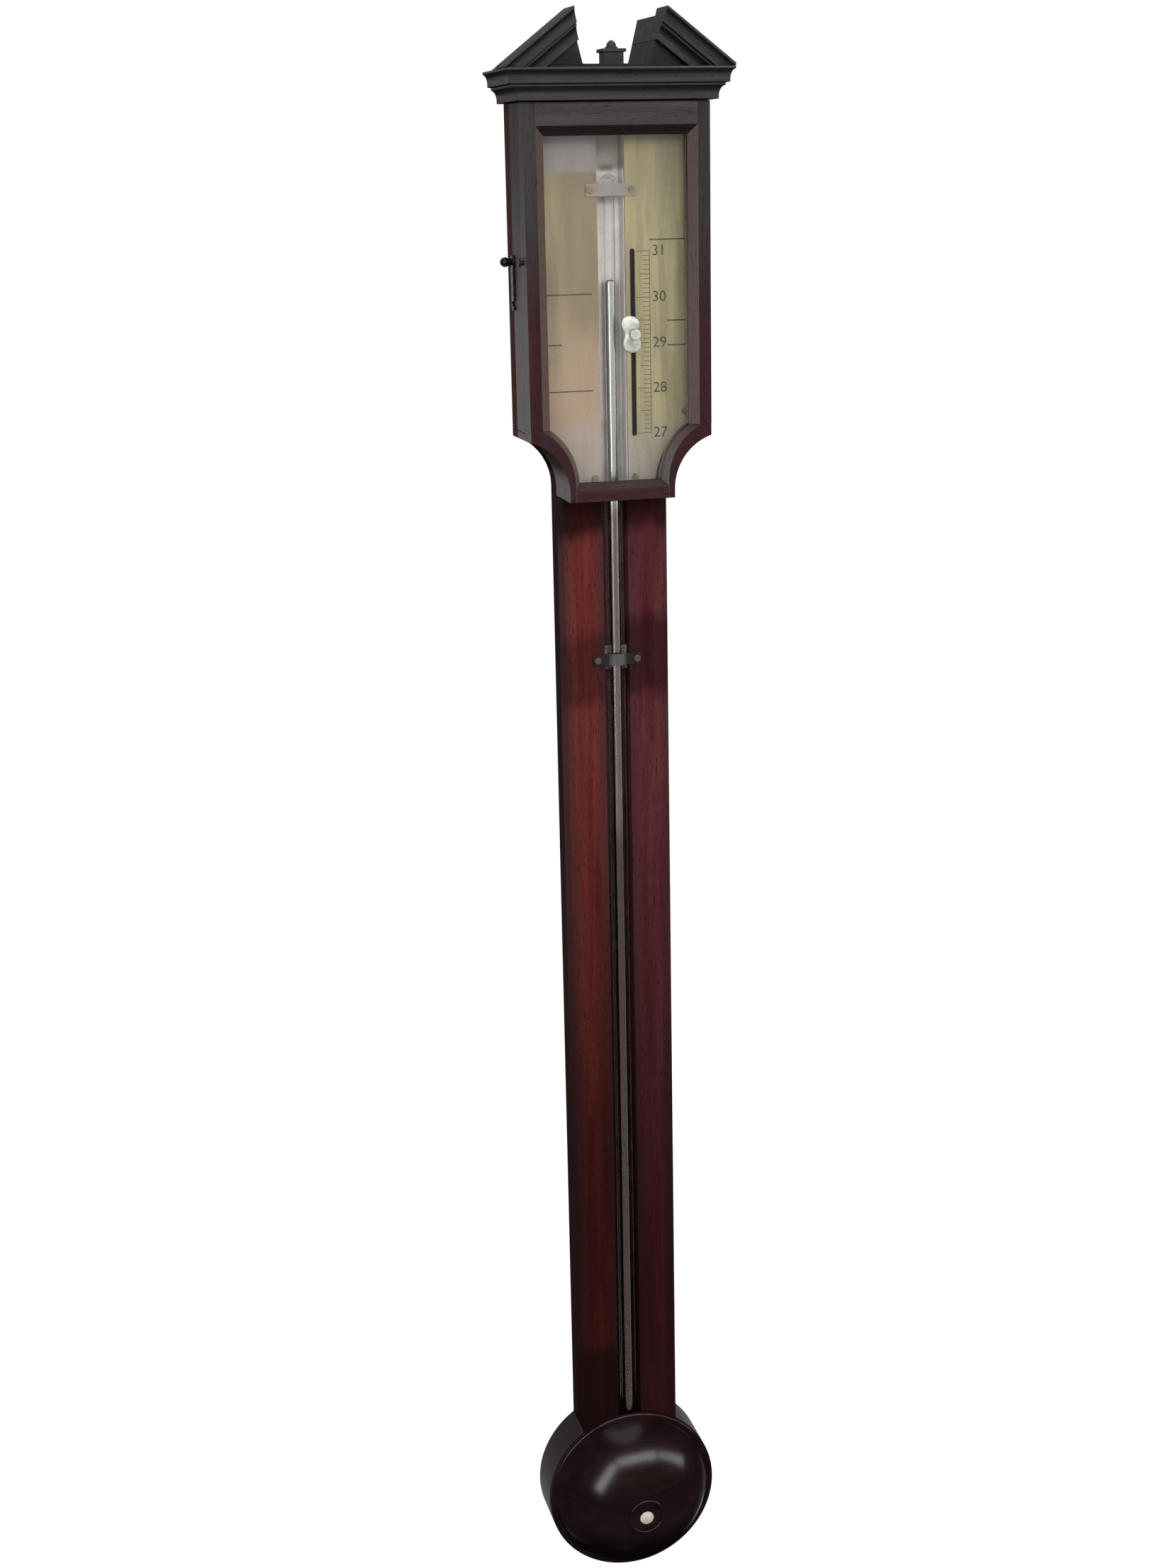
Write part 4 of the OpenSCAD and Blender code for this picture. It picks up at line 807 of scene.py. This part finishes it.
def addLamp(name, spec):
    data = bpy.data.lights.new(name, "AREA")
    data.shape = "RECTANGLE"
    data.size, data.size_y = spec["size"]
    data.energy = spec["radiance"] * math.pi * spec["size"][0] * spec["size"][1]  # W
    lamp = bpy.data.objects.new(name, data)
    bpy.context.scene.collection.objects.link(lamp)
    place = np.array(spec["place"])
    away = place - np.array(lampAim)
    away /= np.linalg.norm(away)
    right = np.array(spec["along"]) - np.dot(spec["along"], away) * away
    right /= np.linalg.norm(right)
    turn = np.eye(4)
    turn[:3, :4] = np.column_stack((right, np.cross(away, right), away, place))
    lamp.matrix_world = Matrix(turn.tolist())
    lamp.visible_camera = False


# 1 on the rays that see the background: from the camera, off gloss and through glass
def seenRay(shade):
    paths = [shade.node("ShaderNodeLightPath", output="Is %s Ray" % kind)
             for kind in ("Camera", "Glossy", "Transmission")]
    return paths[0].larger(paths[1]).larger(paths[2])


def lightRoom(spec):
    world = bpy.data.worlds.new("room")
    bpy.context.scene.world = world
    world.use_nodes = True
    world.node_tree.nodes.clear()
    shade = Shade(world.node_tree)
    fill = shade.node("ShaderNodeBackground", inputs={"Color": (1, 1, 1, 1), "Strength": spec["fill"]})
    white = shade.node("ShaderNodeBackground", inputs={"Color": (1, 1, 1, 1), "Strength": spec["white"]})
    backdrop = shade.node("ShaderNodeMixShader", inputs={0: seenRay(shade), 1: fill, 2: white})
    shade.node("ShaderNodeOutputWorld", inputs={"Surface": backdrop})


# A pale round floor, (r cos a, r sin a) about its middle, that fades into the white room. It looks white where
# no shadow falls.
def layFloor(spec):
    r, a = np.meshgrid(np.linspace(spec["hub"], spec["radius"], spec["rings"]),
                       np.linspace(0, 2 * math.pi, spec["spokes"], endpoint=False), indexing="ij")
    points = np.stack((r * np.cos(a), spec["middle"] + r * np.sin(a), np.full_like(r, spec["height"])), -1)
    material, shade, place = startMaterial("floor")
    away = shade.node("ShaderNodeVectorMath", {"operation": "DISTANCE"},
                      {0: place, 1: (0, spec["middle"], spec["height"])}, "Value")
    dark, light = ((spec["albedo"] + part * spec["mottle"],) * 3 for part in (-1, 1))
    paint = {"Base Color": noise(place, spec["mottleScale"], 2.0, 0.5).tint(dark, light),
             "Roughness": spec["roughness"], "Specular IOR Level": 0.0}
    pale = shade.node("ShaderNodeBsdfPrincipled", inputs=paint)
    lit = shade.node("ShaderNodeBsdfPrincipled", inputs=dict(
        paint, **{"Emission Color": (1, 1, 1, 1), "Emission Strength": spec["glow"]}))
    white = shade.node("ShaderNodeMixShader", inputs={0: seenRay(shade), 1: pale, 2: lit})
    clear = shade.node("ShaderNodeBsdfTransparent")
    faded = shade.node("ShaderNodeMixShader", inputs={0: away.step(*spec["fade"]), 1: white, 2: clear})
    closeMaterial(shade, faded)
    faces = gridFaces(spec["rings"], spec["spokes"], wrap=True)
    floor = addShape("floor", points.reshape(-1, 3) / mm, faces, material)


# A dim screen round the front and the sides of the room, seen in polish alone. It is a part of a ball,
# R (sin a cos u, -cos a cos u, sin u).
screenSpec = {
    "radius": 3.0,  # m
    "half": 138, "foot": -85, "head": 62,  # degrees
    "rows": 24, "spokes": 48, "grey": 0.02, "weave": 200, "weaveDepth": 0.2, "roughness": 0.9,
}


def hangScreen(spec):
    half = math.radians(spec["half"])
    up, a = np.meshgrid(np.radians(np.linspace(spec["foot"], spec["head"], spec["rows"])),
                        np.linspace(-half, half, spec["spokes"]), indexing="ij")
    points = spec["radius"] * np.stack((np.sin(a) * np.cos(up), -np.cos(a) * np.cos(up), np.sin(up)), -1)
    material, shade, place = startMaterial("screen")
    dark, light = ((spec["grey"] * (1 + part * spec["weaveDepth"]),) * 3 for part in (-1, 1))
    closeMaterial(shade, shade.node("ShaderNodeBsdfPrincipled", inputs={
        "Base Color": noise(place, spec["weave"], 2.0, 0.5).tint(dark, light), "Roughness": spec["roughness"]}))
    screen = addShape("screen", points.reshape(-1, 3) / mm, gridFaces(spec["rows"], spec["spokes"]), material)
    for ray in ("camera", "diffuse", "transmission", "shadow"):
        setattr(screen, "visible_" + ray, False)


for name, spec in lamps.items():
    addLamp(name, spec)
hangScreen(screenSpec)
lightRoom(room)
layFloor(floorSpec)
print("room lit")
